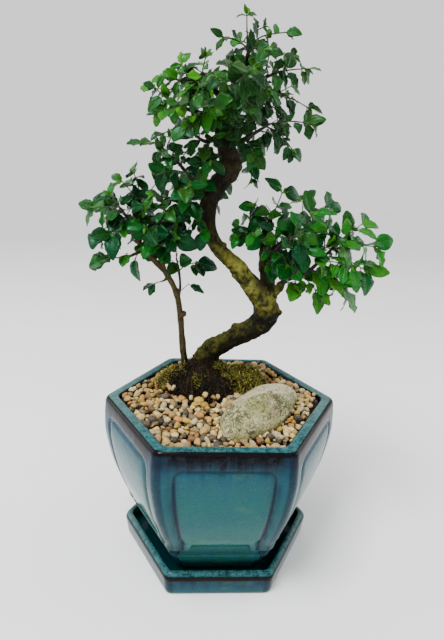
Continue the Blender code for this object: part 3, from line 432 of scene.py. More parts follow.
class Crowding:
    """What already stands in the tree, so that new twigs and leaves can keep clear of it."""

    def __init__(self):
        self.taken = []

    @staticmethod
    def box(points):
        low = Vector([min(point[k] for point in points) for k in range(3)])
        high = Vector([max(point[k] for point in points) for k in range(3)])
        return low, high

    def add(self, points, faces, owner):
        self.taken.append((*self.box(points), BVHTree.FromPolygons(points, faces), owner))

    def hits(self, points, faces, counts):
        low, high = self.box(points)
        tree = None
        for other_low, other_high, other, owner in self.taken:
            if not counts(owner):
                continue
            if any(high[k] < other_low[k] or low[k] > other_high[k] for k in range(3)):
                continue
            tree = tree or BVHTree.FromPolygons(points, faces)
            if tree.overlap(other):
                return True
        return False


def leaf_fits(crowding, leaf, own):
    """Whether a leaf clears the rest of the tree; near its root only other branches count."""
    if crowding.hits(*leaf_blade(leaf, LEAF_MARGIN, LEAF_ROOT), lambda owner: owner != own):
        return False
    return not crowding.hits(*leaf_blade(leaf, TWIG_MARGIN), lambda owner: owner[0] != own[0])


def twig_fits(crowding, points, radii, own):
    """Whether a twig clears other branches, and past its root the twigs of its own."""
    thick = [radius + TWIG_MARGIN for radius in radii]
    if crowding.hits(*tube(points, thick, TWIG_SIDES), lambda owner: owner[0] != own[0]):
        return False
    rest = tube(points[1:], thick[1:], TWIG_SIDES)
    return not crowding.hits(*rest, lambda owner: owner[0] == own[0] and owner[1] >= 0)


def grow_leaf(crowding, draw, place, way, turn, size, twig, spread, outward):
    """One leaf that clears its neighbours, or None after a few tries."""
    for attempt in range(LEAF_TRIES):
        roll = turn + draw.uniform(-0.35, 0.35) * (1 + attempt)
        side = Matrix.Rotation(roll, 3, way) @ way.orthogonal().normalized()
        lean = math.radians(spread + draw.uniform(-12, 12))
        heading = way * math.cos(lean) + side * math.sin(lean) + DOWN * draw.uniform(*LEAF_HANG)
        heading = heading.normalized()
        up = LEAF_LIGHT + outward * LEAF_OUT
        up += Vector([draw.uniform(-LEAF_STRAY, LEAF_STRAY) for _ in range(3)])
        length = size * draw.uniform(0.85, 1.1) * (1 - 0.03 * attempt)
        leaf = (place, leaf_axes(heading, up), length, draw.uniform(0.02, 0.22))
        if leaf_fits(crowding, leaf, twig):
            return leaf
    return None


def grow_pair(crowding, draw, path, share, centre, turn, size, own, spread, chance=None):
    """Up to two leaves opposite each other at a share of a path, by chance where one is given."""
    place, heading, _ = along(*path, share)
    outward = Vector((place.x - centre.x, place.y - centre.y, 0.0))
    outward = outward.normalized() if outward.length > 1 else Vector((0, -1, 0))
    leaves = []
    for side in range(2):
        if chance is not None and draw.random() > chance:
            continue
        roll = turn + math.pi * side
        leaf = grow_leaf(crowding, draw, place, heading, roll, size, own, spread, outward)
        if leaf:
            crowding.add(*leaf_blade(leaf), own)
            leaves.append(leaf)
    return leaves


def grow_twig(crowding, draw, own, start, way, tip, size, pairs, centre):
    """A twig's path and its leaves, in opposite pairs that turn a quarter each time."""
    shift = Vector((0, 0, 0))
    for attempt in range(TWIG_TRIES):
        points, radii = twig_path(start, way, tip + shift)
        if twig_fits(crowding, points, radii, own):
            break
        shift = Vector([draw.uniform(-1, 1) for _ in range(3)]) * (1.5 + 0.5 * attempt)
    else:
        return None
    crowding.add(*tube(points, radii, TWIG_SIDES), own)
    leaves = []
    pairs = max(1, round(pairs * PAIRS_KEPT))
    turn = draw.uniform(0, math.pi)
    for pair in range(pairs):
        last = pair == pairs - 1
        share = LAST_PAIR if last else FIRST_PAIR + (1 - FIRST_PAIR) * pair / pairs
        reach = size * TIP_SIZE if last else size
        spread = TIP_SPREAD if last else LEAF_SPREAD
        leaves += grow_pair(crowding, draw, (points, radii), share, centre, turn, reach, own, spread)
        turn += math.pi / 2
    return points, radii, leaves


def grow_tree():
    """What stands in the tree, and the paths of all leafy branches with their twigs and leaves."""
    crowding = Crowding()
    for stem, (stations, sides, spare) in STEMS.items():
        points, radii = smooth_path(stations, 2)
        crowding.add(*tube(points, [radius + spare for radius in radii], sides), (stem, -1))
    paths = {name: smooth_path(stations, 2) for name, (_, stations, _) in BRANCHES.items()}
    for name, path in paths.items():
        crowding.add(*tube(*path, BRANCH_SIDES), (name, -1))
    grown = {}
    for order, (name, (_, _, twigs)) in enumerate(BRANCHES.items()):
        draw = random.Random(SEED + order)
        points, radii = paths[name]
        sprays = []
        for index, (share, tip, size, pairs) in enumerate(twigs):
            start, way, _ = along(points, radii, share)
            if share == 1.0:
                start = start - way * 0.5
            spray = grow_twig(crowding, draw, (name, index), start, way, Vector(tip), size, pairs, points[0])
            if spray:
                sprays.append(spray)
        grown[name] = (points, radii, sprays)
    return crowding, grown


# Materials and meshes


class Value:
    """What a node gives for each place on a surface, with the usual signs for sums."""

    def __init__(self, finish, socket):
        self.finish = finish
        self.socket = socket

    def __add__(self, other):
        return self.finish.math("ADD", self, other)

    def __sub__(self, other):
        return self.finish.math("SUBTRACT", self, other)

    def __rsub__(self, other):
        return self.finish.math("SUBTRACT", other, self)

    def __mul__(self, other):
        return self.finish.math("MULTIPLY", self, other)

    def __truediv__(self, other):
        return self.finish.math("DIVIDE", self, other)

    def __abs__(self):
        return self.finish.math("ABSOLUTE", self)


class Finish:
    """A procedural material: short calls that add nodes to its tree. Lengths are in millimetres."""

    def __init__(self, name, **values):
        self.material = bpy.data.materials.new(name)
        self.material.use_nodes = True
        self.tree = self.material.node_tree
        self.shader = self.tree.nodes["Principled BSDF"]
        self.relief = None
        self.set(**values)
        spot = self.node("TexCoord", {}, "Object")
        self.place = self.node("VectorMath", {0: spot, "Scale": 1 / MM}, operation="SCALE")

    def put(self, socket, value):
        """Links a socket to what another node gives, or sets its value."""
        if isinstance(value, Value):
            self.tree.links.new(value.socket, socket)
        else:
            socket.default_value = value

    def set(self, **values):
        """Sets or links the shader's own sockets; an underscore stands for a space."""
        for name, value in values.items():
            self.put(self.shader.inputs[name.replace("_", " ")], value)

    def node(self, kind, inputs, output=0, **settings):
        """Adds a node with its settings and inputs, and gives one of its outputs."""
        node = self.tree.nodes.new("ShaderNode" + kind)
        for name, value in settings.items():
            setattr(node, name, value)
        for name, value in inputs.items():
            self.put(node.inputs[name], value)
        return Value(self, node.outputs[output])

    def math(self, operation, *values):
        """One sum, of one value or more."""
        return self.node("Math", dict(enumerate(values)), operation=operation)

    def attribute(self, name, output="Fac"):
        """A value stored on the mesh's points."""
        return self.node("Attribute", {}, output, attribute_name=name)

    def stretch(self, x, y, z, place=None):
        """The place, stretched by a factor along each axis."""
        return self.node("VectorMath", {0: place or self.place, 1: (x, y, z)}, operation="MULTIPLY")

    def warped(self, scale, amount):
        """The place, pushed about by soft noise."""
        push = self.node("TexNoise", {"Vector": self.place, "Scale": scale, "Detail": 3.0}, "Color")
        return self.node("VectorMath", {0: push, 1: (amount,) * 3, 2: self.place}, operation="MULTIPLY_ADD")

    def noise(self, scale, detail=3.0, rough=0.55, place=None, warp=0.0):
        """Cloudy noise with so many waves in a millimetre."""
        inputs = {"Scale": scale, "Detail": detail, "Roughness": rough, "Distortion": warp}
        return self.node("TexNoise", {"Vector": place or self.place, **inputs}, "Fac")

    def cells(self, scale):
        """Distance from the nearest of many scattered points."""
        return self.node("TexVoronoi", {"Vector": self.place, "Scale": scale}, "Distance")

    def span(self, value, low, high, start=0.0, end=1.0):
        """A value taken from one range to another, smoothly and clamped."""
        inputs = {"Value": value, "From Min": low, "From Max": high, "To Min": start, "To Max": end}
        return self.node("MapRange", inputs, interpolation_type="SMOOTHSTEP")

    def mix(self, share, first, second, blend="MIX"):
        """Two colours mixed."""
        return self.node("Mix", {0: share, 6: first, 7: second}, 2, data_type="RGBA", blend_type=blend)

    def ramp(self, value, stops):
        """A colour for each value, through (value, colour) stops."""
        node = self.tree.nodes.new("ShaderNodeValToRGB")
        elements = node.color_ramp.elements
        while len(elements) < len(stops):
            elements.new(0.5)
        for element, (position, colour) in zip(elements, stops):
            element.position = position
            element.color = colour
        self.put(node.inputs[0], value)
        return Value(self, node.outputs["Color"])

    def part(self, vector, axis):
        """One coordinate of a vector."""
        return self.node("SeparateXYZ", {0: vector}, axis)

    def facing(self, axis):
        """How much the surface faces along an axis."""
        return self.part(self.node("NewGeometry", {}, "Normal"), axis)

    def bump(self, height, depth, strength):
        """Relief of so many millimetres, over the relief that is there."""
        inputs = {"Strength": strength, "Distance": depth * MM, "Height": height}
        if self.relief:
            inputs["Normal"] = self.relief
        self.relief = self.node("Bump", inputs)
        self.set(Normal=self.relief)


def rgb(red, green, blue):
    """A colour from its screen values, 0 to 255."""
    def linear(value):
        value /= 255
        return value / 12.92 if value <= 0.04045 else ((value + 0.055) / 1.055) ** 2.4
    return (linear(red), linear(green), linear(blue), 1.0)


# How a value is stored on a mesh's points, by how many numbers it has
MARK_KINDS = {1: ("FLOAT", "value"), 3: ("FLOAT_VECTOR", "vector"), 4: ("FLOAT_COLOR", "color")}


def piece(name, points, faces, finish, slot, nodes=(), smooth=True, marks=None):
    """A mesh piece from points in millimetres, riding on the object's one body. Its marks are
    values on its points that the finish reads."""
    mesh = bpy.data.meshes.new(name)
    points = np.asarray(points, dtype=np.float32).reshape(-1, 3) * MM
    mesh.from_pydata(points.tolist(), [], faces)
    for label, values in (marks or {}).items():
        values = np.asarray(values, dtype=np.float32).ravel()
        kind, field = MARK_KINDS[len(values) // len(points)]
        mesh.attributes.new(label, kind, "POINT").data.foreach_set(field, values)
    mesh.materials.append(finish.material)
    mesh.polygons.foreach_set("use_smooth", [smooth] * len(mesh.polygons))
    mesh.update()
    thing = bpy.data.objects.new(name, mesh)
    bpy.context.scene.collection.objects.link(thing)
    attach(thing, "root")
    if nodes:
        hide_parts(*nodes)


def grid_faces(rows, columns, close_rows=False):
    """Quads between rows of points that run all round, the last row joined to the first if asked."""
    faces = []
    for row in range(rows if close_rows else rows - 1):
        low, high = row * columns, (row + 1) % rows * columns
        for column in range(columns):
            after = (column + 1) % columns
            faces.append((low + column, low + after, high + after, high + column))
    return faces


def end_faces(rows, columns):
    """The two faces that close a stack of rows below and above."""
    return [tuple(reversed(range(columns))), tuple(range((rows - 1) * columns, rows * columns))]


def bell(distance, width):
    """1 at no distance, falling away over a width."""
    return np.exp(-(np.asarray(distance) / width) ** 2)


def ease(value, low, high):
    """0 below low, 1 above high, smooth between."""
    share = np.clip((np.asarray(value, dtype=float) - low) / (high - low), 0.0, 1.0)
    return share * share * (3 - 2 * share)


# Glazed pot and saucer


class Hexagon:
    """Stations round a hexagon with rounded corners, shared by all rings of a piece."""

    def __init__(self, fillet, flats):
        self.fillet = fillet
        stations = []
        for corner in range(6):
            angle = math.radians(60 * corner)
            stations += [(angle, math.radians(turn), None) for turn in range(-30, 31, 10)]
            for share in np.linspace(-FLAT_REACH, FLAT_REACH, flats):
                stations.append((angle + HALF_CORNER, 0.0, share))
        self.angle = np.array([station[0] for station in stations])
        self.turn = np.array([station[1] for station in stations])
        self.on_arc = np.array([station[2] is None for station in stations])
        self.share = np.array([1.0 if station[2] is None else station[2] for station in stations])
        self.count = len(stations)

    def ring(self, radius, height, groove=0.0):
        """Points at a corner radius and a height, each a number or one for each station."""
        radius = np.broadcast_to(radius, self.count)
        height = np.broadcast_to(height, self.count)
        reach = radius - self.fillet / COS_HALF
        way = self.angle + self.turn
        arc_x = reach * np.cos(self.angle) + self.fillet * np.cos(way)
        arc_y = reach * np.sin(self.angle) + self.fillet * np.sin(way)
        out = radius * COS_HALF - groove
        aside = self.share * radius / 2
        flat_x = out * np.cos(self.angle) - aside * np.sin(self.angle)
        flat_y = out * np.sin(self.angle) + aside * np.cos(self.angle)
        x, y = np.where(self.on_arc, arc_x, flat_x), np.where(self.on_arc, arc_y, flat_y)
        return np.stack([x, y, height], axis=1)

    def circle(self, radius, height):
        """A round ring with the same stations."""
        way = np.unwrap(np.arctan2(*self.ring(50.0, 0.0)[:, 1::-1].T))
        return np.stack([radius * np.cos(way), radius * np.sin(way), np.full(self.count, height)], axis=1)


class Pottery:
    """Rings of points on one hexagon's stations, with the marks that the glaze reads."""

    def __init__(self, shape):
        self.shape = shape
        self.rings = []
        self.marks = {mark: [] for mark in ("groove", "pool", "rim", "inside", "lip")}

    def add(self, ring, **marks):
        """One more ring; a mark that isn't given is 0."""
        self.rings.append(ring)
        for mark, values in self.marks.items():
            values.append(np.broadcast_to(marks.get(mark, 0.0), self.shape.count))

    def piece(self, node, faces, glaze, half_side, width, aside):
        """The mesh, with two marks that are alike on all rings: how near the corners a point is,
        and how far aside from the middle of its side."""
        marks = {mark: np.concatenate(values) for mark, values in self.marks.items()}
        corner = bell((1 - np.abs(self.shape.share)) * half_side - 4.0, width)
        corner = np.where(self.shape.on_arc, 1.0, corner)
        marks["corner"] = np.tile(corner, len(self.rings))
        marks["aside"] = np.tile(aside, len(self.rings))
        piece("glazed_" + node, np.concatenate(self.rings), faces, glaze, "glaze", [node], marks=marks)


def pot_radius(height):
    """The pot's corner radius at each height, on a smooth curve through the measured ones."""
    path = smooth_path([(z, r, 0, 0) for z, r in POT_SIDE], 8)[0]
    return np.interp(height, [point.x for point in path], [point.y for point in path])


def build_pot(glaze):
    """The pot: foot, arched skirt, grooved panels, thick rounded rim, and the inside."""
    shape = Hexagon(POT_FILLET, POT_STATIONS)
    pot = Pottery(shape)
    share = np.abs(shape.share)
    edge = SKIRT_POST + (SKIRT_ARCH - SKIRT_POST) * (1 - ease(share, ARCH_END, ARCH_FOOT))
    skirt = SKIRT_RADIUS + (edge - SKIRT_POST) * SKIRT_FLARE
    pot.add(shape.ring(FOOT_RADIUS, FOOT_LOW + 1.0))
    for height in np.linspace(FOOT_LOW + 2.5, 28.5, 7):
        pot.add(shape.ring(FOOT_RADIUS + (height - FOOT_LOW) * FOOT_FLARE / (FOOT_HIGH - FOOT_LOW), height))
    for radius, height, lip in FOOT_EDGE:
        pot.add(shape.ring(radius, height), lip=lip)
    for within, up, lip in SKIRT_EDGE:
        pot.add(shape.ring(skirt - within, edge + up), lip=lip)
    for step in np.linspace(0.0, 1.0, SIDE_ROWS):
        height = edge + SKIRT_ROUND + (SIDE_TOP - edge - SKIRT_ROUND) * step
        radius = pot_radius(height)
        aside = share * radius / 2 - PANEL_EDGE * radius / 2
        above = height - PANEL_TOP
        corner = np.hypot(aside + PANEL_CORNER, above + PANEL_CORNER) - PANEL_CORNER
        inner = (aside > -PANEL_CORNER) & (above > -PANEL_CORNER)
        distance = np.where(inner, corner, np.maximum(aside, above))
        groove = np.where(shape.on_arc, 0.0, bell(distance, GROOVE_WIDTH))
        swell = np.where(shape.on_arc, 0.0, PANEL_SWELL * ease(-distance, 0.0, 9.0))
        pool = np.where(shape.on_arc, 0.0, bell(aside - 1.2, 3.4) * ease(-above, -2.0, 12.0))
        pot.add(shape.ring(radius, height, GROOVE_DEPTH * groove - swell), groove=groove, pool=pool)
    for radius, height, rim in RIM_RINGS:
        pot.add(shape.ring(radius, height), rim=rim)
    for radius, height in INSIDE_RINGS:
        pot.add(shape.ring(radius, height), inside=1.0)
    floor = INSIDE_RINGS[-1][1]
    pot.add(shape.circle(DRAIN_RADIUS + 1, floor), inside=1.0)
    pot.add(shape.circle(DRAIN_RADIUS, floor - 0.6), inside=1.0)
    pot.add(shape.circle(DRAIN_RADIUS, FOOT_LOW))
    pot.add(shape.ring(FOOT_RADIUS - 1.2, FOOT_LOW))
    faces = grid_faces(len(pot.rings), shape.count, close_rows=True)
    pot.piece("pot", faces, glaze, POT_HALF_SIDE, 2.2, np.where(shape.on_arc, 1.0, share))


def build_saucer(glaze):
    """The saucer: a thick-walled tray with a rounded rim."""
    shape = Hexagon(SAUCER_FILLET, SAUCER_STATIONS)
    saucer = Pottery(shape)
    for radius, height, rim, inside in SAUCER_RINGS:
        saucer.add(shape.ring(radius, height), rim=rim, inside=inside)
    faces = grid_faces(len(SAUCER_RINGS), shape.count) + end_faces(len(SAUCER_RINGS), shape.count)
    saucer.piece("saucer", faces, glaze, SAUCER_HALF_SIDE, 2.0, np.zeros(shape.count))


# Glaze colours by height
POT_GLAZE = [
    (34, rgb(12, 67, 62)), (48, rgb(31, 86, 82)), (64, rgb(28, 82, 81)), (92, rgb(27, 80, 82)),
    (103, rgb(29, 76, 82)), (111, rgb(26, 66, 78)), (117, rgb(19, 50, 64)), (121, rgb(9, 22, 32)),
    (124.5, rgb(3, 4, 7)), (128, rgb(5, 3, 4)),
]
SAUCER_GLAZE = [
    (-2, rgb(10, 22, 34)), (1.5, rgb(26, 74, 82)), (7, rgb(22, 62, 76)), (11, rgb(16, 40, 60)),
    (16, rgb(12, 22, 36)), (20, rgb(10, 9, 13)),
]
GLAZE_EDGE = rgb(12, 9, 10)


def glaze_finish(name, heights, rim_colour, inside_colour, rim_lean, band):
    """Reactive glaze: colour by height in vertical streaks, dark where it breaks over edges."""
    made = Finish(name, Roughness=0.1, IOR=1.45, Specular_IOR_Level=0.1)
    height = made.part(made.place, "Z")
    streak = made.noise(0.28, 4.0, 0.6, made.stretch(1.0, 1.0, 0.12))
    mottle = made.noise(1.1, 4.0, 0.7)
    ragged = made.noise(0.8, 3.0, 0.6)
    low, high = heights[0][0], heights[-1][0]
    drift = streak * 14.0 + made.noise(0.09, 3.0, 0.5) * 10.0
    level = (height + drift - (low + 12.0)) / (high - low)
    colour = made.ramp(level, [((z - low) / (high - low), tone) for z, tone in heights])

    # Pale, blue, golden and rusty clouds, and dark flecks, below the rim's band
    below = made.span(height, band, band - 10.0)
    pale = below * made.span(mottle, 0.35, 0.75, 0.0, 0.14)
    colour = made.mix(pale, colour, rgb(84, 150, 144))
    blots = below * made.span(made.noise(0.11, 5.0, 0.7), 0.48, 0.66, 0.0, 0.4)
    colour = made.mix(blots, colour, rgb(30, 72, 98))
    gold = made.noise(0.035, 3.0, 0.6, made.stretch(1.0, 1.0, 2.4))
    colour = made.mix(below * made.span(gold, 0.54, 0.7, 0.0, 0.3), colour, rgb(66, 106, 84))
    rust = made.noise(0.2, 4.0, 0.7, warp=0.6) + below * -0.16
    colour = made.mix(made.span(rust, 0.48, 0.62, 0.0, 0.45), colour, rgb(38, 36, 48))
    fleck = made.span(made.cells(0.62), 0.20, 0.12) * made.span(made.noise(0.35, 2.0), 0.45, 0.57)
    colour = made.mix(fleck * 0.65, colour, GLAZE_EDGE)

    # Darker posts, grooves and corners, where it pools and where it runs thin
    posts = made.span(made.attribute("aside"), 0.74, 0.86, 0.0, 0.35)
    colour = made.mix(posts, colour, rgb(20, 58, 80))
    groove = made.span(made.attribute("groove") + ragged * 0.5, 0.62, 1.15)
    colour = made.mix(groove * made.span(height, 113.0, 104.0, 0.4, 0.9), colour, rgb(7, 14, 30))
    pool = made.attribute("pool") * made.span(streak, 0.3, 0.6, 0.35, 0.75)
    colour = made.mix(pool, colour, rgb(12, 26, 50))
    corner = made.span(made.attribute("corner") + ragged * 0.6, 0.85, 1.5)
    colour = made.mix(corner * 0.75, colour, rgb(12, 16, 34))
    colour = made.mix(made.span(made.attribute("inside"), 0.2, 0.9), colour, inside_colour)

    # The flat top of the rim, in patches
    light = made.mix(0.3, rim_colour, rgb(86, 150, 152))
    deep = made.mix(0.75, rim_colour, rgb(4, 28, 38))
    patches = mottle * 0.5 + made.noise(0.25, 4.0, 0.6) * 0.5
    speck = made.span(made.cells(0.55), 0.3, 0.16) * made.span(made.noise(0.3, 3.0), 0.5, 0.58)
    flat = made.mix(speck, made.mix(made.span(patches, 0.4, 0.6), light, deep), GLAZE_EDGE)
    flat_corners = made.span(abs(made.part(made.place, "X")), 45.0, 82.0, 0.0, 0.4)
    flat = made.mix(flat_corners, flat, rgb(92, 116, 112))
    top = made.span(made.facing("Z"), *rim_lean) * (1.0 - made.attribute("inside"))
    colour = made.mix(top, colour, flat)

    # The dark edges of the rim and the lips
    broken = made.attribute("rim") + made.attribute("lip") * 0.5
    colour = made.mix(made.span(broken + ragged * 0.35, 0.62, 1.0), colour, GLAZE_EDGE)
    made.set(Base_Color=colour)
    made.bump(made.noise(0.16, 2.0, 0.4), 0.5, 0.35)
    made.bump(made.noise(0.9, 3.0, 0.5), 0.07, 0.5)
    made.bump(fleck, -0.08, 0.5)
    return made


def build_ceramics():
    """Pot and saucer with their glazes."""
    rim, inside = rgb(17, 70, 74), rgb(8, 40, 44)
    build_pot(glaze_finish("glaze_of_pot", POT_GLAZE, rim, inside, (0.55, 0.9), 119.0))
    rim, inside = rgb(13, 60, 62), rgb(4, 42, 46)
    build_saucer(glaze_finish("glaze_of_saucer", SAUCER_GLAZE, rim, inside, (0.25, 0.6), 40.0))


# Soil, pebbles, stone and moss


def relief(point, scale, depth=3):
    """Layered noise at a place in millimetres, about -1 to 1."""
    spot, total, weight = Vector(point) * scale, 0.0, 1.0
    for _ in range(depth):
        total += weight * noise.noise(spot)
        spot = spot * 2.1 + Vector((7.3, 1.9, 4.1))
        weight *= 0.5
    return total


def listed(mesh):
    """A bmesh's points and faces, and the end of it."""
    points = np.array([vertex.co[:] for vertex in mesh.verts])
    faces = [tuple(vertex.index for vertex in face.verts) for face in mesh.faces]
    mesh.free()
    return points, faces


def ball(detail):
    """Points and faces of an icosphere."""
    mesh = bmesh.new()
    bmesh.ops.create_icosphere(mesh, subdivisions=detail, radius=1.0)
    return listed(mesh)


def quad_ball(cells):
    """Points and faces of a ball made of the six sides of a cube, without poles."""
    mesh = bmesh.new()
    bmesh.ops.create_cube(mesh, size=2.0)
    bmesh.ops.subdivide_edges(mesh, edges=mesh.edges[:], cuts=cells - 1, use_grid_fill=True)
    for vertex in mesh.verts:
        vertex.co.normalize()
    return listed(mesh)


def mound_height(x, y):
    """Height of the heap of soil at a place, or nothing outside it."""
    (cx, cy, cz), (sx, sy, sz) = MOUND
    rest = 1 - ((x - cx) / sx) ** 2 - ((y - cy) / sy) ** 2
    return cz + sz * math.sqrt(rest) if rest > 0 else 0.0


def mound_spot(draw, low, high):
    """A random place on the mound, by its share of the way out squared, between two numbers."""
    (cx, cy, _), (sx, sy, _) = MOUND
    way, reach = draw.uniform(0, 2 * math.pi), math.sqrt(draw.uniform(low, high))
    return cx + reach * sx * math.cos(way), cy + reach * sy * math.sin(way)


def outward(x, y):
    """How far a place lies towards the side of the pot that is nearest to it."""
    turns = [math.radians(60 * side + 30) for side in range(6)]
    return max(x * math.cos(turn) + y * math.sin(turn) for turn in turns)


def in_pot(x, y, margin):
    """Whether a place lies inside the pot's wall, with a margin."""
    return outward(x, y) < INNER_RADIUS * COS_HALF - margin


def bed_height(x, y):
    """Height of the gravel under its pebbles, a little uneven, banked up against the wall but in front."""
    banked = BANK * ease(outward(x, y), *BANK_SIDE) * ease(y, *BANK_FRONT)
    return GRAVEL_LOW + banked + 1.15 * heaped(x, y) + 0.8 * relief((x, y, 0), 0.05, 2)


def ground(skin, x, y):
    """Height of what lies under a place: gravel, soil, or a root that rises from it."""
    height = max(mound_height(x, y), bed_height(x, y))
    spot = skin.ray_cast(Vector((x, y, 150.0)), DOWN)[0]
    return max(height, spot.z) if spot else height


def shaded(colour, share):
    """A colour made darker or brighter, as three numbers."""
    return tuple(min(1.0, channel * share) for channel in colour[:3])


class Heap:
    """Many small solids gathered in one mesh, each with a colour of its own."""

    def __init__(self):
        self.points, self.faces, self.colours, self.count = [], [], [], 0

    def add(self, points, faces, colour, light=1.0):
        self.points.append(np.asarray(points))
        self.faces += [tuple(self.count + index for index in face) for face in faces]
        # light is painted light and shade, a factor on the colour at each point
        shade = np.broadcast_to(light, len(points))
        self.colours.append(np.array(colour[:3] + (1.0,)) * shade[:, None])
        self.count += len(points)

    def piece(self, name, finish, slot, nodes=(), smooth=True):
        marks = {"tint": np.concatenate(self.colours)}
        piece(name, np.concatenate(self.points), self.faces, finish, slot, nodes, smooth, marks)


def turned(points, draw, size):
    """A shape's points, scaled along its own axes and turned at random."""
    roll, yaw = (Matrix.Rotation(draw.uniform(0, WHOLE_TURN), 3, axis) for axis in "XZ")
    return (points * np.array(size)) @ np.array(roll @ yaw)


# How often a pebble has each colour
PEBBLE_COLOURS = [
    (18, rgb(206, 182, 116)), (15, rgb(186, 150, 76)), (7, rgb(180, 122, 44)), (6, rgb(160, 128, 78)),
    (14, rgb(222, 208, 156)), (5, rgb(130, 112, 74)), (3, rgb(134, 84, 40)), (4, rgb(74, 52, 30)),
    (2, rgb(98, 94, 78)), (8, rgb(202, 168, 58)), (3, rgb(38, 27, 20)), (2, rgb(22, 17, 16)),
]
# The radii that each layer tries, the largest first
LOWER_PEBBLES = (2.5, 2.3, 2.1, 1.9, 1.8)
UPPER_PEBBLES = [3.2] + [2.8] * 2 + [2.5] * 3 + [2.2] * 5 + [1.9] * 6 + [1.6] * 6 + [1.3] * 5
# Single pebbles: x, y, radius and colour
SINGLE_PEBBLES = (
    (-17.2, 3.0, 3.9, rgb(196, 160, 70)), (10.1, 3.0, 3.3, rgb(50, 44, 38)),
    (-51.5, -28.0, 3.4, rgb(36, 26, 28)), (32.2, -49.3, 2.8, rgb(26, 20, 20)),
    (-55.0, -36.0, 3.0, rgb(44, 26, 30)), (-8.0, -52.0, 2.7, rgb(70, 40, 36)),
)


def stone_share(x, y, spare):
    """Below 1 inside the stone's footprint and some room to spare."""
    (cx, cy, _), (sx, sy, _), turn = STONE
    angle = math.radians(turn)
    along_it = (x - cx) * math.cos(angle) + (y - cy) * math.sin(angle)
    across_it = -(x - cx) * math.sin(angle) + (y - cy) * math.cos(angle)
    return (along_it / (sx + spare)) ** 2 + (across_it / (sy + spare)) ** 2


def gravel_lies(x, y, radius):
    """Whether a pebble has room at a place, beside the wall, the stone and the mound."""
    if not in_pot(x, y, radius * 0.9) or stone_share(x, y, radius * 0.4) < 0.94:
        return False
    (cx, cy, _), (sx, sy, _) = MOUND
    return ((x - cx) / (sx - 3)) ** 2 + ((y - cy) / (sy - 3)) ** 2 > 1 + 0.16 * relief((x, y, 3), 0.12)


def scatter(draw, tries, sizes, close):
    """Places for pebbles, the larger first, each clear of the others by a share of their sizes."""
    spots = np.empty((0, 3))
    for radius in sizes:
        for _ in range(tries):
            x, y = draw.uniform(-76, 76), draw.uniform(-68, 68)
            if gravel_lies(x, y, radius):
                gap = np.hypot(spots[:, 0] - x, spots[:, 1] - y)
                if not np.any(gap < close * (spots[:, 2] + radius)):
                    spots = np.vstack([spots, (x, y, radius)])
    return spots


def pebble_shapes(draw, points, count):
    """Worn stones: balls with a few sides ground nearly flat, and their edges still round."""
    shapes = []
    for order in range(count):
        reach = np.ones(len(points))
        for _ in range(draw.randint(6, 9)):
            way = np.array([draw.gauss(0, 1) for _ in range(3)])
            way /= np.linalg.norm(way)
            side = np.clip(points @ way, 0.05, 1.0)
            cut = draw.uniform(0.54, 0.84) / side
            reach = -np.log(np.exp(-20 * reach) + np.exp(-20 * cut)) / 20
        bumps = np.array([relief(point * 2.2 + order, 1.0, 2) for point in points])
        shapes.append(points * reach[:, None] * (1 + 0.09 * bumps)[:, None] * 1.12)
    return shapes


def pebble_layer(draw, heap, tries, sizes, close, lift, shapes, faces):
    """Pebbles of many sizes and colours, dropped on the gravel's bed, with painted shade that darkens each
    one low down.
    """
    weights = [weight for weight, _ in PEBBLE_COLOURS]
    for x, y, radius in scatter(draw, tries, sizes, close):
        size = [radius * draw.uniform(*span) for span in ((0.85, 1.35), (0.8, 1.1), (0.6, 0.95))]
        z = max(bed_height(x, y), mound_height(x, y) - 0.5) + lift + draw.uniform(-0.6, 0.8)
        colour = draw.choices(PEBBLE_COLOURS, weights)[0][1]
        colour = shaded(colour, draw.uniform(0.55, 1.15))
        form = turned(draw.choice(shapes), draw, size)
        # Painted shade: each point is darker the lower it lies, as the shade between the pebbles
        light = 0.12 + 0.88 * ease(form[:, 2] + lift, -1.6, 2.2)
        heap.add(form + np.array((x, y, z)), faces, colour, light)


def pebble_finish():
    """Worn stone in each pebble's own colour, veined and speckled."""
    made = Finish("pebble_stone", Roughness=0.5, Specular_IOR_Level=0.35)
    grain = made.noise(1.6, 4.0, 0.7)
    vein = made.span(made.noise(0.7, 3.0, 0.6, warp=1.5), 0.42, 0.58)
    tint = made.attribute("tint", "Color")
    colour = made.mix(vein * 0.4, tint, made.mix(1.0, tint, rgb(150, 108, 70), "MULTIPLY"))
    made.set(Base_Color=made.mix(made.span(grain, 0.4, 0.7, 0.0, 0.25), colour, rgb(205, 186, 150)))
    made.bump(grain, 0.3, 0.9)
    return made


def build_pebbles():
    """Small worn pebbles in two layers, cream, tan, orange and brown."""
    draw = random.Random(41)
    fine, fine_faces = quad_ball(5)
    rough, rough_faces = ball(2)
    fine_shapes = pebble_shapes(draw, fine, 24)
    rough_shapes = pebble_shapes(draw, rough, 12)
    finish = pebble_finish()
    low, top = Heap(), Heap()
    pebble_layer(draw, low, 420, LOWER_PEBBLES, 0.74, -1.7, rough_shapes, rough_faces)
    low.piece("pebbles_below", finish, "gravel", ["gravel"])
    pebble_layer(draw, top, 200, UPPER_PEBBLES, 0.8, 1.5, fine_shapes, fine_faces)
    for x, y, radius, colour in SINGLE_PEBBLES:
        size = (radius * 1.1, radius, radius * 0.85)
        top.add(fine * size + np.array((x, y, bed_height(x, y) + 2.8)), fine_faces, colour)
    top.piece("pebbles", finish, "gravel", ["gravel"])


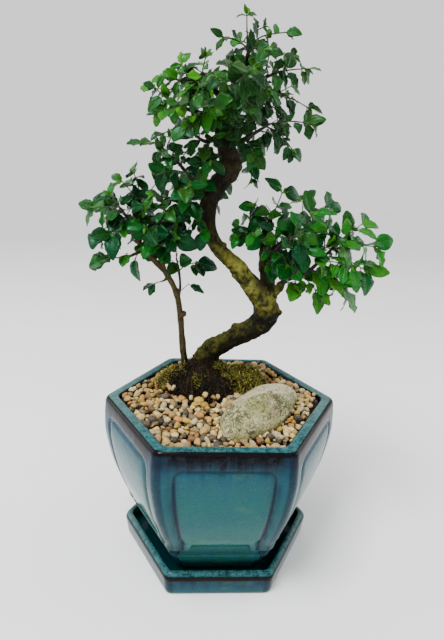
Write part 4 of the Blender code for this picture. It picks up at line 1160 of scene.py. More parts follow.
def build_grit():
    """The dark bed that the pebbles lie on."""
    bed = Hexagon(POT_FILLET, BED_STATIONS)
    wall = INNER_RADIUS - 0.5
    rings = [bed.ring(radius, 112.0) for radius in (wall, wall, 70, 55, 40, 25, 10)]
    points = np.concatenate(rings)
    for point in points[bed.count:]:
        point[2] = bed_height(point[0], point[1]) - 1.6
    grit = Finish("grit", Roughness=0.95, Specular_IOR_Level=0.2)
    grain = grit.noise(0.9, 5.0, 0.8)
    grit.set(Base_Color=grit.ramp(grain, [(0.35, rgb(12, 9, 5)), (0.65, rgb(50, 36, 20))]))
    grit.bump(grit.noise(1.2, 4.0, 0.7), 0.5, 1.0)
    faces = grid_faces(len(rings), bed.count) + end_faces(len(rings), bed.count)
    piece("grit_bed", points, faces, grit, "gravel")


def build_mound():
    """Dark crumbly soil, heaped round the stems."""
    shape, faces = ball(5)
    points = shape * np.array(MOUND[1]) + np.array(MOUND[0])
    lift = np.array([relief(point, 0.11, 4) for point in points])
    fine = np.array([relief(point, 0.5, 2) for point in points])
    points = points + shape * (1.6 * lift + 0.7 * fine - 0.6)[:, None]
    points[:, 2] = np.maximum(points[:, 2], SOIL_TOP - 3)
    made = Finish("dark_soil", Roughness=0.95, Specular_IOR_Level=0.12)
    dirt = made.noise(0.7, 5.0, 0.75)
    made.set(Base_Color=made.ramp(dirt, [
        (0.3, rgb(5, 4, 2)), (0.5, rgb(16, 13, 8)), (0.62, rgb(31, 26, 16)), (0.75, rgb(54, 46, 30)),
    ]))
    made.bump(dirt, 0.8, 1.0)
    made.bump(made.noise(2.2, 3.0, 0.7), 0.3, 0.8)
    piece("soil_mound", points, faces, made, "soil", ["soil"])


def build_crumbs(skin):
    """Crumbs of soil and old roots on the mound."""
    draw = random.Random(52)
    heap = Heap()
    grain, grain_faces = ball(1)
    for _ in range(CRUMBS):
        x, y = mound_spot(draw, 0.0, 1.16)
        if not in_pot(x, y, 3):
            continue
        radius = draw.uniform(0.4, 1.3)
        colour = shaded(rgb(36, 29, 18), draw.uniform(0.15, 1.0))
        form = turned(grain, draw, (radius * 1.3, radius, radius * 0.7))
        heap.add(form + np.array((x, y, ground(skin, x, y) + 0.2)), grain_faces, colour)
    for _ in range(OLD_ROOTS):
        x, y = mound_spot(draw, 0.02, 1.0)
        turn, path = draw.uniform(0, WHOLE_TURN), []
        for _ in range(9):
            path.append(Vector((x, y, ground(skin, x, y) + draw.uniform(-0.3, 1.1))))
            turn += draw.uniform(-0.6, 0.6)
            x, y = x + 1.8 * math.cos(turn), y + 1.8 * math.sin(turn)
        if not in_pot(x, y, 4):
            continue
        thick = draw.uniform(0.22, 0.5)
        colour = shaded(rgb(58, 44, 28), draw.uniform(0.5, 1.6))
        heap.add(*tube(path, [thick * (1 - 0.07 * k) for k in range(len(path))], 5), colour)
    crumb = Finish("soil_crumbs", Roughness=0.9, Specular_IOR_Level=0.15)
    dark = crumb.span(crumb.noise(1.5), 0.4, 0.7, 0, 0.5)
    crumb.set(Base_Color=crumb.mix(dark, crumb.attribute("tint", "Color"), rgb(16, 11, 8)))
    heap.piece("soil_crumbs", crumb, "soil", smooth=False)


def stone_shape():
    """Points and faces of the stone, and how much each point is of its ledge and of its crease."""
    centre, size, turn = STONE
    shape, faces = ball(6)
    spin = np.array(Matrix.Rotation(-math.radians(turn), 3, "Z"))
    points, ledges, creases = [], [], []
    for way in shape:
        x, y, z = np.sign(way) * np.abs(way) ** 0.88
        beyond = 0.853 * x + 0.522 * y + 0.03 * relief(way, 3.0, 2)
        ledges.append(ease(beyond, -0.02, 0.05) * ease(y, -0.8, -0.5) * (z > 0))
        creases.append(bell(beyond - 0.01, 0.04) * ease(z, 0.2, 0.5))
        ridge = 0.12 * bell(beyond + 0.18, 0.2) * (z > 0)
        height = 1.06 + ridge - 0.1 * ledges[-1] - 0.09 * creases[-1]
        spot = Vector((x * size[0], y * size[1] * (1 - 0.05 * ease(-x, 0.3, 1.0)), z * size[2] * height))
        points.append(spot + Vector(way) * (1.3 * relief(way, 1.6, 2) + 0.4 * relief(way, 6.0, 2)))
    points = np.array(points) @ spin + np.array(centre)
    points[:, 2] = np.maximum(points[:, 2], STONE_LOW)
    return points, faces, ledges, creases


def stone_finish():
    """Pale stone with warm and dull patches, under a net of wandering dark lines."""
    made = Finish("pale_stone", Roughness=0.6, Specular_IOR_Level=0.35)
    net = made.warped(0.35, 4.0)

    def lines(scale, detail, thin, shy):
        """Wandering lines, where soft noise crosses its middle, missing in places."""
        wave = made.noise(1.0, detail, 0.5, made.stretch(scale, scale * 0.6, scale, net))
        there = made.span(made.noise(0.1, 3.0), 0.38, 0.56, shy)
        return made.span(abs(wave - 0.5), thin, thin * 0.3) * there

    ledge = made.attribute("ledge")
    crack = lines(0.09, 3.0, 0.03, 0.4)
    small = lines(0.4, 1.5, 0.055, 0.85) * made.span(ledge, 0.0, 1.0, 1.0, 0.45)
    base = made.ramp(made.noise(0.07, 4.0, 0.6), [
        (0.3, rgb(130, 127, 76)), (0.5, rgb(150, 148, 99)), (0.7, rgb(180, 176, 134)),
    ])
    base = made.mix(made.span(made.noise(0.045, 2.0), 0.52, 0.66, 0, 0.6), base, rgb(178, 152, 130))
    base = made.mix(made.span(made.noise(1.1, 4.0, 0.75), 0.45, 0.8, 0, 0.2), base, rgb(92, 88, 58))
    base = made.mix(ledge * 0.55, base, rgb(196, 184, 156))
    dark = made.math("MAXIMUM", crack * 0.85, small * 0.8)
    dark = made.math("MAXIMUM", dark, made.attribute("crease") * 0.75)
    made.set(Base_Color=made.mix(dark, base, rgb(34, 32, 15)))
    made.bump(dark, -0.25, 0.8)
    made.bump(made.noise(0.8, 4.0, 0.6), 0.2, 0.6)
    return made


def build_stone():
    """The long stone: blunt at its lower left end, with a crease before the shelf at the other."""
    points, faces, ledges, creases = stone_shape()
    marks = {"ledge": ledges, "crease": creases}
    piece("veined_stone", points, faces, stone_finish(), "stone", ["stone"], marks=marks)


# A moss leaf: three points at its foot, three at its bend, and its tip, with painted light and shade: near
# black at its foot, down in the cushion's shade, and brighter the further up
MOSS_FACES = [(0, 1, 2), (0, 3, 4, 1), (1, 4, 5, 2), (2, 5, 3, 0), (3, 6, 4), (4, 6, 5), (5, 6, 3)]
MOSS_LIGHT = np.array([0.04, 0.04, 0.04, 0.4, 0.4, 0.4, 1.9])


def moss_colour(draw, dry):
    """A moss leaf's colour, from fresh green to straw."""
    fresh, straw, shade = rgb(106, 118, 18), rgb(212, 188, 88), draw.choice((0.12, 0.3, 0.65, 1.1, 1.7))
    share = min(1.0, max(0.0, draw.gauss(dry, 0.25)))
    return tuple((fresh[k] * (1 - share) + straw[k] * share) * shade for k in range(3))


def moss_sprig(heap, draw, spot, up, dry, tall):
    """A short shoot of moss with slender leaves round it, with painted shade at their foot and painted light
    towards their tips.
    """
    spot, up = Vector(spot), Vector(up).normalized()
    side = up.orthogonal().normalized()
    for _ in range(5):
        way = Matrix.Rotation(draw.uniform(0, WHOLE_TURN), 3, up) @ side
        heading = (up * draw.uniform(0.3, 1.3) + way).normalized()
        length, wide = draw.uniform(1.6, 3.8) * tall, draw.uniform(0.2, 0.36)
        across = heading.cross(up).normalized() * wide
        thick = across.cross(heading).normalized() * wide * 0.7
        root = spot + up * draw.uniform(-0.3, 0.9)
        bend = root + heading * length * 0.55 + up * 0.12 * length
        tip = root + heading * length + up * draw.uniform(0.1, 0.6)
        points = [root - across * 0.4, root + thick, root + across * 0.4]
        points += [bend - across, bend + thick, bend + across, tip]
        heap.add([point[:] for point in points], MOSS_FACES, moss_colour(draw, dry), MOSS_LIGHT)


def build_cushion(name, leaf, core):
    """One cushion of moss: a dark core, and sprigs all over it."""
    (cx, cy, cz), (sx, sy, sz), sprigs, dry = MOSS[name]
    draw = random.Random(len(name))
    shape, faces = ball(4)
    points = shape * np.array((sx, sy, sz)) * 0.9
    points = points * (1 + 0.08 * np.array([relief(point, 0.2, 3) for point in points]))[:, None]
    points = points + np.array((cx, cy, cz - 0.8))
    piece(name + "_core", points, faces, core, "moss", [name])
    heap = Heap()
    for _ in range(sprigs):
        way = Vector((draw.gauss(0, 1), draw.gauss(0, 1), abs(draw.gauss(0, 1)) + 0.05)).normalized()
        uneven = relief((way.x * 2, way.y * 2, way.z * 2 + len(name)), 1.3, 2)
        reach = draw.uniform(0.84, 1.04) + 0.16 * uneven
        spot = Vector((cx + way.x * sx * reach, cy + way.y * sy * reach, cz + way.z * sz * reach - 0.6))
        if spot.z >= bed_height(spot.x, spot.y):
            up = Vector((way.x / sx, way.y / sy, way.z / sz + 0.02)).normalized() + Vector((0, 0, 0.5))
            moss_sprig(heap, draw, spot, up, dry, draw.choice((0.8, 1.0, 1.5)))
    heap.piece(name + "_sprigs", leaf, "moss", [name], smooth=False)


def build_scattered_moss(skin, bark_spots, bark_normals, leaf):
    """Single sprigs in patches on the soil, and round the trunk's foot."""
    draw = random.Random(77)
    heap = Heap()
    middle = MOUND[0][0]
    for _ in range(SPRIGS_ON_SOIL):
        x, y = mound_spot(draw, 0.02, 1.12)
        bare = 0.34 - 0.4 * ease(abs(x - middle), 14, 34) + 0.4 * ease(24 - y, 0, 12)
        bare -= 0.7 * bell(math.hypot(x - 5, y - 28), 12)
        if relief((x, y, 9), 0.09, 2) >= bare and in_pot(x, y, 3):
            spot = (x, y, ground(skin, x, y) + 0.3)
            moss_sprig(heap, draw, spot, (0, 0, 1), 0.35 if x > middle else 0.6, draw.choice((0.7, 1.0, 1.4)))
    foot = [
        index for index, spot in enumerate(bark_spots)
        if 130 < spot[2] < (156 if spot[0] > -6 else 140) and bark_normals[index][2] > -0.3
    ]
    for index in draw.sample(foot, min(SPRIGS_ON_BARK, len(foot))):
        up = Vector(bark_normals[index]) + Vector((0, 0, 0.5))
        moss_sprig(heap, draw, bark_spots[index], up, 0.1, draw.choice((0.5, 0.7, 1.0)))
    heap.piece("moss_scattered", leaf, "moss", smooth=False)


def build_moss(skin, bark_spots, bark_normals):
    """Two cushions of moss, yellow-green, with sprigs over the soil round them and the trunk's foot."""
    leaf = Finish("moss_leaf", Roughness=0.8, Specular_IOR_Level=0.3)
    dull = leaf.span(leaf.noise(0.5), 0.4, 0.65, 0, 0.4)
    leaf.set(Base_Color=leaf.mix(dull, leaf.attribute("tint", "Color"), rgb(40, 42, 8)))
    core = Finish("moss_core", Roughness=0.95)
    grain = core.noise(0.8, 4.0, 0.7)
    core.set(Base_Color=core.ramp(grain, [(0.35, rgb(12, 11, 4)), (0.65, rgb(40, 38, 12))]))
    core.bump(core.noise(1.4, 4.0, 0.7), 0.6, 1.0)
    for name in MOSS:
        build_cushion(name, leaf, core)
    build_scattered_moss(skin, bark_spots, bark_normals, leaf)


# Wood

SKIN_CELL = {"trunk": 0.62, "side_stem": 0.42}  # size of the quads that a skin is made of
SCAB = (25, 12, 190.5)  # a dark scar inside the bend
SCAR_WOOD = (5, 4, 299)  # paler wood on the swelling under the crown
HOLLOW = KNOTS[4][0]  # the knot that has rotted inwards


def merged(parts):
    """Points and faces of several closed shapes put in one list."""
    points, faces = [], []
    for shape, shape_faces in parts:
        faces += [tuple(len(points) + index for index in face) for face in shape_faces]
        points += [tuple(point) for point in shape]
    return points, faces


def remeshed(parts, voxel):
    """The parts melted into one closed skin of even quads, slightly smoothed."""
    points, faces = merged(parts)
    mesh = bpy.data.meshes.new("melt")
    mesh.from_pydata([Vector(point) * MM for point in points], [], faces)
    thing = bpy.data.objects.new("melt", mesh)
    bpy.context.scene.collection.objects.link(thing)
    melt = thing.modifiers.new("melt", "REMESH")
    melt.mode = "VOXEL"
    melt.voxel_size = voxel * MM
    soften = thing.modifiers.new("soften", "SMOOTH")
    soften.factor = 0.5
    soften.iterations = 4
    graph = bpy.context.evaluated_depsgraph_get()
    done = bpy.data.meshes.new_from_object(thing.evaluated_get(graph))
    bpy.data.objects.remove(thing, do_unlink=True)
    spots = np.array([vertex.co[:] for vertex in done.vertices]) / MM
    normals = np.array([vertex.normal[:] for vertex in done.vertices])
    faces = [tuple(face.vertices) for face in done.polygons]
    bpy.data.meshes.remove(done)
    return spots, normals, faces


def lumpy_tube(stations, sides, pieces, seed, lump=0.06):
    """A round tube along a smooth path, its section uneven and changing slowly."""
    points, radii = smooth_path(stations, pieces)
    shape, faces = tube(points, radii, sides)
    moved = []
    for index, spot in enumerate(shape):
        middle = points[index // sides]
        wave = relief(Vector(spot) + Vector((seed, 0, 0)), 0.09, 2)
        moved.append(middle + (Vector(spot) - middle) * (1 + lump * 2.2 * wave))
    return moved, faces


def knot(place, size, seed):
    """A pruned stub: an uneven lump."""
    shape, faces = ball(3)
    points = []
    for way in shape:
        lump = 1 + 0.25 * relief(Vector(way) + Vector((seed, 0, 0)), 1.6)
        points.append(Vector(place) + Vector(way) * size * lump)
    return points, faces


def collars(stem, shape):
    """The first stretch of each branch of a stem, made by a function of its two stations."""
    return [shape(*stations[:2]) for carrier, stations, _ in BRANCHES.values() if carrier == stem]


def trunk_collar(first, second):
    """A branch swollen where it leaves the trunk."""
    (x, y, z, r), (x2, y2, z2, r2) = first, second
    middle = ((x + x2) / 2, (y + y2) / 2, (z + z2) / 2, r)
    return lumpy_tube([(x, y, z, r * 1.5), middle, (x2, y2, z2, r2 * 0.9)], 12, 3, 3, 0.03)


def stem_collar(*stations):
    """A branch a little thicker where it leaves the thin stem."""
    return lumpy_tube([(x, y, z, r * 1.15) for x, y, z, r in stations], 10, 3, 5, 0.03)


def barked(spots, normals, rough):
    """Bark pushed in and out of the skin, and how deep each point then lies."""
    depths = []
    for x, y, z in spots:
        plates = relief((x, y, z * 0.55), 0.42, 3)
        lumps = relief((x, y, z), 0.13, 2)
        ridges = 0.5 - abs(relief((x + 40, y, z * 0.5), 0.30, 2))
        depths.append(0.35 * plates + 0.75 * lumps + 0.35 * ridges)
    depths = np.array(depths)
    return spots + normals * (rough * depths)[:, None], depths


def bark_finish():
    """Brown bark, olive with algae low on the trunk, dark in its cracks, with painted light where it faces
    the light and painted shade beneath, on the limb and under the crown.
    """
    made = Finish("bark", Roughness=0.85, Specular_IOR_Level=0.15)
    height = made.part(made.place, "Z")
    warm = made.attribute("warm")
    grain = made.noise(0.55, 5.0, 0.7, made.stretch(1.0, 1.0, 0.5))
    brown = made.ramp(grain, [
        (0.28, rgb(9, 9, 5)), (0.45, rgb(26, 23, 13)), (0.6, rgb(50, 43, 25)), (0.78, rgb(84, 74, 48)),
    ])

    # The film of algae, with painted light: brighter where it faces the light above and in front; by height
    # it is darker below 190 mm and above 252 mm, and a little brighter below 176 mm
    lit = made.facing("Z") * 0.36 + made.facing("X") * -0.12 + made.facing("Y") * -0.16
    lit = lit + made.span(height, 190.0, 206.0, -0.38, 0.03)
    lit = lit + made.span(height, 232.0, 252.0, 0.0, -0.22)
    lit = lit + made.span(height, 176.0, 160.0, 0.0, 0.06)
    painted_light_film = lit + (made.noise(0.34, 4.0, 0.6) * 0.38 + 0.11) + made.noise(0.1, 3.0, 0.55) * 0.5
    olive = made.ramp(painted_light_film, [
        (0.2, rgb(9, 9, 2)), (0.42, rgb(33, 32, 7)), (0.62, rgb(74, 73, 20)), (0.82, rgb(108, 107, 42)),
        (1.0, rgb(130, 129, 68)),
    ])
    algae = made.span(height, 268.0, 240.0) * made.attribute("mossy")
    colour = made.mix(algae, brown, olive)

    # Dark cracks and dots, then the paler wood with painted shade on its side turned away from the light, and
    # painted shade on the bark's undersides
    deep = made.span(made.attribute("depth"), 0.05, -0.45, 0.0, 0.8)
    colour = made.mix(deep, colour, rgb(10, 8, 4))
    dots = made.span(made.cells(0.5), 0.3, 0.14) * made.span(made.noise(0.12), 0.46, 0.56)
    colour = made.mix(dots * 0.65, colour, rgb(14, 11, 5))
    colour = made.mix(warm * made.span(grain, 0.3, 0.6), colour, rgb(94, 82, 52))
    painted_shade_turned_away = warm * made.span(made.facing("X"), 0.1, 0.9, 0.0, 0.7)
    colour = made.mix(painted_shade_turned_away, colour, rgb(14, 11, 5))
    # Painted shade: darker where the bark faces down
    under = made.span(made.facing("Z"), -0.15, -0.8, 0.0, 0.6)
    colour = made.mix(under, colour, rgb(10, 10, 4))

    # Pale specks; painted shade on the limb and under the crown, with the dark scab and the hollow knot's
    # ring; stains that gather lower down, and darker still towards the foot
    speck = made.span(made.cells(0.8), 0.26, 0.14) * made.span(made.noise(0.16), 0.56, 0.62, 0.0, 0.7)
    colour = made.mix(speck * algae, colour, rgb(126, 124, 84))
    colour = made.mix(made.attribute("shaded"), colour, rgb(10, 12, 4))
    stain = made.span(made.noise(0.13, 4.0, 0.7), 0.5, 0.64, 0.0, 0.5)
    colour = made.mix(made.span(height, 190.0, 160.0) * stain, colour, rgb(15, 17, 4))
    colour = made.mix(made.span(height, 152.0, 138.0, 0.0, 0.85), colour, rgb(12, 9, 5))
    made.set(Base_Color=colour)
    made.bump(grain, 0.5, 0.8)
    made.bump(made.noise(1.6, 4.0, 0.7), 0.2, 0.6)
    return made


def far(spots, place):
    """How far each spot is from a place."""
    return np.linalg.norm(spots - np.array(place), axis=1)


def trunk_moss(spots):
    """How mossy the trunk is: less on the limb, most from the bend up to the middle."""
    x, _, z = spots.T
    limb = bell(x - 31, 9) * ease(z, 208, 220)
    scars = sum(bell(far(spots, place), size * 1.1) for place, size in KNOTS[:3] + KNOTS[4:])
    return (1 - 0.85 * limb) * ease(z, 138, 156) * (1 - 0.8 * np.clip(scars, 0, 1))


def trunk_marks(spots, depths):
    """What the bark's colours read on the trunk: its cracks, algae and paler wood, and painted shade on the
    limb and under the crown, in one mark with a dark scab and the hollow knot's ring.
    """
    x, y, z = spots.T
    # Painted shade: the limb where it runs under the leaves, and the upper trunk under the crown, more on its
    # left
    limb = ease(x, 19, 24) * ease(z, 211, 220) * 0.6
    upper = ease(z, 244, 272) * (0.5 - 0.4 * ease(x, -5, 5))
    ragged = np.array([relief(spot, 0.35, 2) for spot in spots])
    scab = 0.85 * ease(far(spots, SCAB) - 6.0 * ragged, 6.5, 4.0)
    hollow = np.hypot(x - HOLLOW[0], z - HOLLOW[2]) + np.maximum(0, y - 8)
    ring = 0.85 * bell(hollow, 2.7) - 0.35 * bell(hollow, 1.2)
    painted_shade_and_scars = np.maximum.reduce([limb, upper, scab, ring])
    warm = 0.4 * bell(far(spots, SCAR_WOOD), 8.0) + 0.3 * bell(hollow, 1.6)
    return {"depth": depths, "mossy": trunk_moss(spots), "shaded": painted_shade_and_scars, "warm": warm}


def build_trunk(bark):
    """The trunk with its limb, roots, knots and the collars of its branches, as one skin."""
    parts = [lumpy_tube(TRUNK, 28, 6, 0), lumpy_tube(LIMB, 20, 5, 9)]
    parts += [lumpy_tube(root, 14, 5, 20 + index, 0.1) for index, root in enumerate(ROOTS)]
    parts += [knot(place, size * 0.95, index) for index, (place, size) in enumerate(KNOTS)]
    parts += collars("trunk", trunk_collar)
    spots, normals, faces = remeshed(parts, SKIN_CELL["trunk"])
    height = spots[:, 2]
    rough = 0.8 * ease(height, 385, 300) + 0.2 + 0.5 * ease(height, 250, 225)
    spots, depths = barked(spots, normals, rough)
    piece("bark_trunk", spots, faces, bark, "bark", ["trunk"], marks=trunk_marks(spots, depths))
    return spots, normals, BVHTree.FromPolygons([Vector(spot) for spot in spots], faces)


def build_side_stem(bark):
    """The thin stem beside the trunk."""
    parts = [lumpy_tube(SIDE_STEM, 14, 6, 60, 0.05), knot(*STEM_KNOT, 61)]
    parts += collars("side_stem", stem_collar)
    spots, normals, faces = remeshed(parts, SKIN_CELL["side_stem"])
    spots, depths = barked(spots, normals, 0.4)
    every = np.ones(len(spots))
    marks = {"depth": depths, "mossy": every * 0.3, "shaded": every * 0.0, "warm": every * 0.8}
    piece("bark_side_stem", spots, faces, bark, "bark", ["side_stem"], marks=marks)


# Branches and leaves

LEAF_ROWS = 9
LEAF_COLUMNS = np.array([-1.0, -0.62, -0.25, 0.0, 0.25, 0.62, 1.0])
LEAF_SKIN = 0.34
STALK = 0.13  # share of a leaf's length that is its stalk
STALK_RADII = [0.42, 0.36, 0.26]

# Extra leaves: how far apart the pairs are, and the spurs with theirs, and degrees from the wood
PAIR_GAP = (4.5, 8.0)
PAIR_SPREAD = 60.0
SPUR_GAP = (6.0, 10.0)
SPUR_REACH = (9.0, 16.0)
SPUR_PAIRS = (0.45, 0.98)  # shares of a spur's length
SPUR_SPREAD = 42.0
BUD_SIZE = (3.5, 6.5)
BUD_SPREAD = 24.0
BUD_YOUTH = 0.8

# The share of the extra leaves that a branch gets
EXTRA_ELSEWHERE = 0.6
EXTRA = {
    "left_low_twig": 0.0, "left_shoot": 0.2, "left_fork": 0.9, "left_reach": 0.5, "left_top": 0.9,
    "left_up": 0.8, "crown_front": 1.0, "crown_high_left": 1.0, "crown_mid_left": 1.0, "crown_low_left": 0.7,
    "crown_back_left": 1.0, "crown_mid_right": 0.8, "crown_low_right": 0.85, "mid_left_low": 0.8,
    "right_reach": 0.9, "right_front": 0.9, "right_top": 0.4, "right_left": 0.5, "right_back": 0.5,
}

# How bright the leaves of a branch are, 0 to 1: partly their own green, and partly painted light and shade,
# darker for branches deep in the crown and brighter for those out in the light
TONE_ELSEWHERE = 0.42
LEAF_TONE = {
    "right_reach": 0.76, "right_front": 0.55, "right_top": 0.52, "right_left": 0.6, "right_back": 0.55,
    "left_low_twig": 0.25, "left_shoot": 0.3, "crown_mid_left": 0.6, "crown_high_left": 0.55,
    "crown_low_left": 0.3, "crown_low_right": 0.22, "apex": 0.3, "crown_high_right": 0.3,
    "crown_mid_right": 0.38, "crown_front": 0.3,
}

# Painted light and shade: places where leaves are darker than their branch, in the shaded cores of the crown
# and of the two side clusters, or brighter, at the crown's upper left: place, reach and change
SHADE_AND_LIGHT_SPOTS = [
    ((12, -6, 328), 22.0, -0.35), ((-40, 5, 266), 18.0, -0.2), ((40, 10, 248), 18.0, -0.25),
    ((-42, -6, 350), 22.0, 0.12), ((-18, -10, 338), 14.0, 0.1),
]


def leaf_outline(t):
    """Half width of a privet leaf as a share of its widest: broad near the base, drawn to a tip."""
    return np.sin(math.pi * np.clip(t, 0, 1) ** 0.84) ** 0.62 * (1 - 0.12 * t ** 3)


def leaf_faces():
    """Faces of a leaf's top, underside, foot and tip. Both sides share the points of its margins."""
    rows, wide = LEAF_ROWS, len(LEAF_COLUMNS)
    top = [list(range(row * wide, (row + 1) * wide)) for row in range(rows)]
    low = []
    for row in range(rows):
        first = rows * wide + row * (wide - 2)
        low.append([top[row][0]] + list(range(first, first + wide - 2)) + [top[row][-1]])
    spots = [(row, column) for row in range(rows - 1) for column in range(wide - 1)]
    faces = [(top[r][c], top[r + 1][c], top[r + 1][c + 1], top[r][c + 1]) for r, c in spots]
    faces += [(low[r][c], low[r][c + 1], low[r + 1][c + 1], low[r + 1][c]) for r, c in spots]
    return faces + [tuple(top[0] + low[0][-2:0:-1]), tuple(top[-1][::-1] + low[-1][1:-1])]


LEAF_FACES = leaf_faces()


def leaf_sides(draw, length, droop, young):
    """A leaf's top and underside: cupped along its rib, arched, waved and twisted; and the share of
    the way out and along at each point."""
    t = np.concatenate([[0.0, 0.05], np.linspace(0.13, 0.94, LEAF_ROWS - 3), [0.985]])[:, None]
    u = LEAF_COLUMNS[None, :]
    half = length * LEAF_WIDTH / 2 * (1 - 0.25 * young) * draw.choice((0.68, 0.85, 0.95, 1.0, 1.1))
    cup = draw.uniform(0.12, 0.5) + 0.3 * young
    wave, phase, turns = draw.uniform(0.03, 0.09), draw.uniform(0, WHOLE_TURN), draw.uniform(1.6, 3.0)
    curl = draw.uniform(-0.32, 0.1)
    twist = draw.uniform(-0.6, 0.6)
    x = STALK * length + t * length * (1 - STALK)
    y = np.maximum(leaf_outline(t) * half, 0.16) * u
    z = cup * np.abs(y) * (1 - 0.45 * np.abs(u))
    ripple = np.sin(turns * WHOLE_TURN * t + phase + 1.6 * np.sign(u)) * u ** 2
    z = z + wave * length * ripple * np.sin(math.pi * t)
    z = z + curl * length * t ** 3 + twist * t * y * 0.8 - droop * length * (x / length) ** 2 - 0.05
    rib = 0.16 * np.exp(-(u / 0.18) ** 2) * (1 - t)
    thick = LEAF_SKIN * (1 - np.abs(u)) ** 0.5 + rib
    x, u, t = (np.broadcast_to(values, y.shape) for values in (x, u, t))
    return np.stack([x, y, z], axis=-1), np.stack([x, y, z - thick], axis=-1), u, t


class Foliage:
    """The leaves of one branch, gathered in one mesh."""

    def __init__(self):
        self.points, self.faces, self.places, self.under, self.age, self.count = [], [], [], [], [], 0

    def add(self, leaf, draw, young, tone):
        """One leaf on a short stalk."""
        place, axes, length, droop = leaf
        top, low, u, t = leaf_sides(draw, length, droop, young)
        turn = np.array([list(row) for row in axes])
        points = np.concatenate([top.reshape(-1, 3), low[:, 1:-1].reshape(-1, 3)])
        on_leaf = np.stack([u, t, np.full(u.shape, tone)], axis=-1)
        on_leaf = np.concatenate([on_leaf.reshape(-1, 3), on_leaf[:, 1:-1].reshape(-1, 3)])
        under = np.arange(len(points)) >= u.size
        self.store(points @ turn.T + np.array(place), LEAF_FACES, on_leaf, under, young)
        stalk, hang = STALK * length, -0.2 - droop * length * 0.03
        path = [(0, 0, 0), (stalk * 0.6, 0, -0.1), (stalk * 1.3, 0, hang)]
        path = [Vector(np.array(place) + turn @ np.array(spot)) for spot in path]
        shape, faces = tube(path, STALK_RADII, 5)
        count = len(shape)
        on_leaf = np.tile((0.0, 0.02, tone), (count, 1))
        shape = np.array([point[:] for point in shape])
        self.store(shape, faces, on_leaf, np.full(count, 0.5), max(young, 0.5))

    def store(self, points, faces, on_leaf, under, young):
        self.points.append(points)
        self.faces += [tuple(self.count + index for index in face) for face in faces]
        self.places.append(on_leaf)
        self.under.append(under)
        self.age.append(np.full(len(points), young))
        self.count += len(points)

    def piece(self, name, finish, node):
        marks = {"leaf": self.places, "under": self.under, "young": self.age}
        marks = {mark: np.concatenate(values) for mark, values in marks.items()}
        piece(name, np.concatenate(self.points), self.faces, finish, "leaf", [node], marks=marks)


def leaf_finish():
    """Glossy leaves: deep green, paler along the veins and beneath, yellow-green when young."""
    made = Finish("leaf", Roughness=0.3, Specular_IOR_Level=0.26, Specular_Tint=(0.3, 0.9, 0.6, 1.0))
    leaf = made.attribute("leaf", "Vector")
    across, length, tone = (made.part(leaf, axis) for axis in "XYZ")
    side = abs(across)
    slope = made.math("FRACT", length * 9.0 - side * 2.6)
    veins = made.span(abs(slope - 0.5), 0.10, 0.0) * made.span(side, 0.95, 0.5)
    line = made.math("MAXIMUM", veins * 0.35, made.span(side, 0.09, 0.0))
    # Each leaf's tone sets its brightness, and with it the painted light and shade of its branch and place
    green = made.ramp(tone, [
        (0.0, rgb(0, 20, 2)), (0.3, rgb(1, 46, 4)), (0.6, rgb(10, 82, 6)), (0.85, rgb(36, 116, 9)),
        (1.0, rgb(62, 136, 14)),
    ])
    green = made.mix(made.span(made.noise(0.12, 3.0), 0.35, 0.65, 0.0, 0.35), green, rgb(2, 48, 20))
    hue = made.math("FRACT", tone * 61.7)
    green = made.mix(made.span(hue, 0.35, 0.2, 0.0, 0.3), green, rgb(1, 54, 36))
    green = made.mix(made.span(hue, 0.72, 0.85, 0.0, 0.3), green, rgb(50, 80, 6))
    crown = made.span(made.part(made.place, "Z"), 280.0, 320.0, 0.0, 0.25)
    green = made.mix(crown, green, rgb(44, 64, 4))
    green = made.mix(made.span(made.attribute("young"), 0.1, 1.0), green, rgb(58, 110, 18))
    green = made.mix(line * 0.13, green, rgb(84, 138, 44))
    under = made.mix(0.45, green, rgb(62, 106, 38))
    green = made.mix(made.span(made.attribute("under"), 0.35, 0.9), green, under)
    margin = made.span(side, 0.86, 1.0) * 0.25
    gloss = made.span(made.noise(0.4, 3.0), 0.3, 0.7, 0.2, 0.36)
    made.set(Base_Color=made.mix(margin, green, rgb(84, 104, 30)), Roughness=gloss)
    made.bump(line * -1.0, 0.22, 0.7)
    made.bump(made.noise(0.5, 3.0, 0.6), 0.2, 0.5)
    return made


def twig_finish():
    """Young wood: grey-brown, greener towards the tips."""
    made = Finish("twig", Roughness=0.7, Specular_IOR_Level=0.35)
    grain = made.noise(0.8, 4.0, 0.65)
    wood = made.ramp(grain, [(0.3, rgb(9, 8, 4)), (0.5, rgb(25, 20, 12)), (0.72, rgb(54, 46, 29))])
    made.set(Base_Color=made.mix(made.attribute("green"), wood, rgb(62, 82, 24)))
    made.bump(grain, 0.2, 0.7)
    return made


def fine_path(points, radii, step):
    """The same path with more points, and its radii."""
    pieces = max(1, round((points[1] - points[0]).length / step))
    return smooth_path([(*point, radius) for point, radius in zip(points, radii)], pieces)


def spur(crowding, draw, own, start, way, reach):
    """A short side shoot that finds room for itself."""
    side = way.orthogonal().normalized()
    for _ in range(6):
        aside = Matrix.Rotation(draw.uniform(0, WHOLE_TURN), 3, way) @ side
        heading = (aside + way * 0.45 + Vector((0, 0, draw.uniform(0.0, 0.5)))).normalized()
        points, radii = twig_path(start, heading, start + heading * reach)
        radii = [radius * 0.85 for radius in radii]
        if twig_fits(crowding, points, radii, own):
            return points, radii
    return None


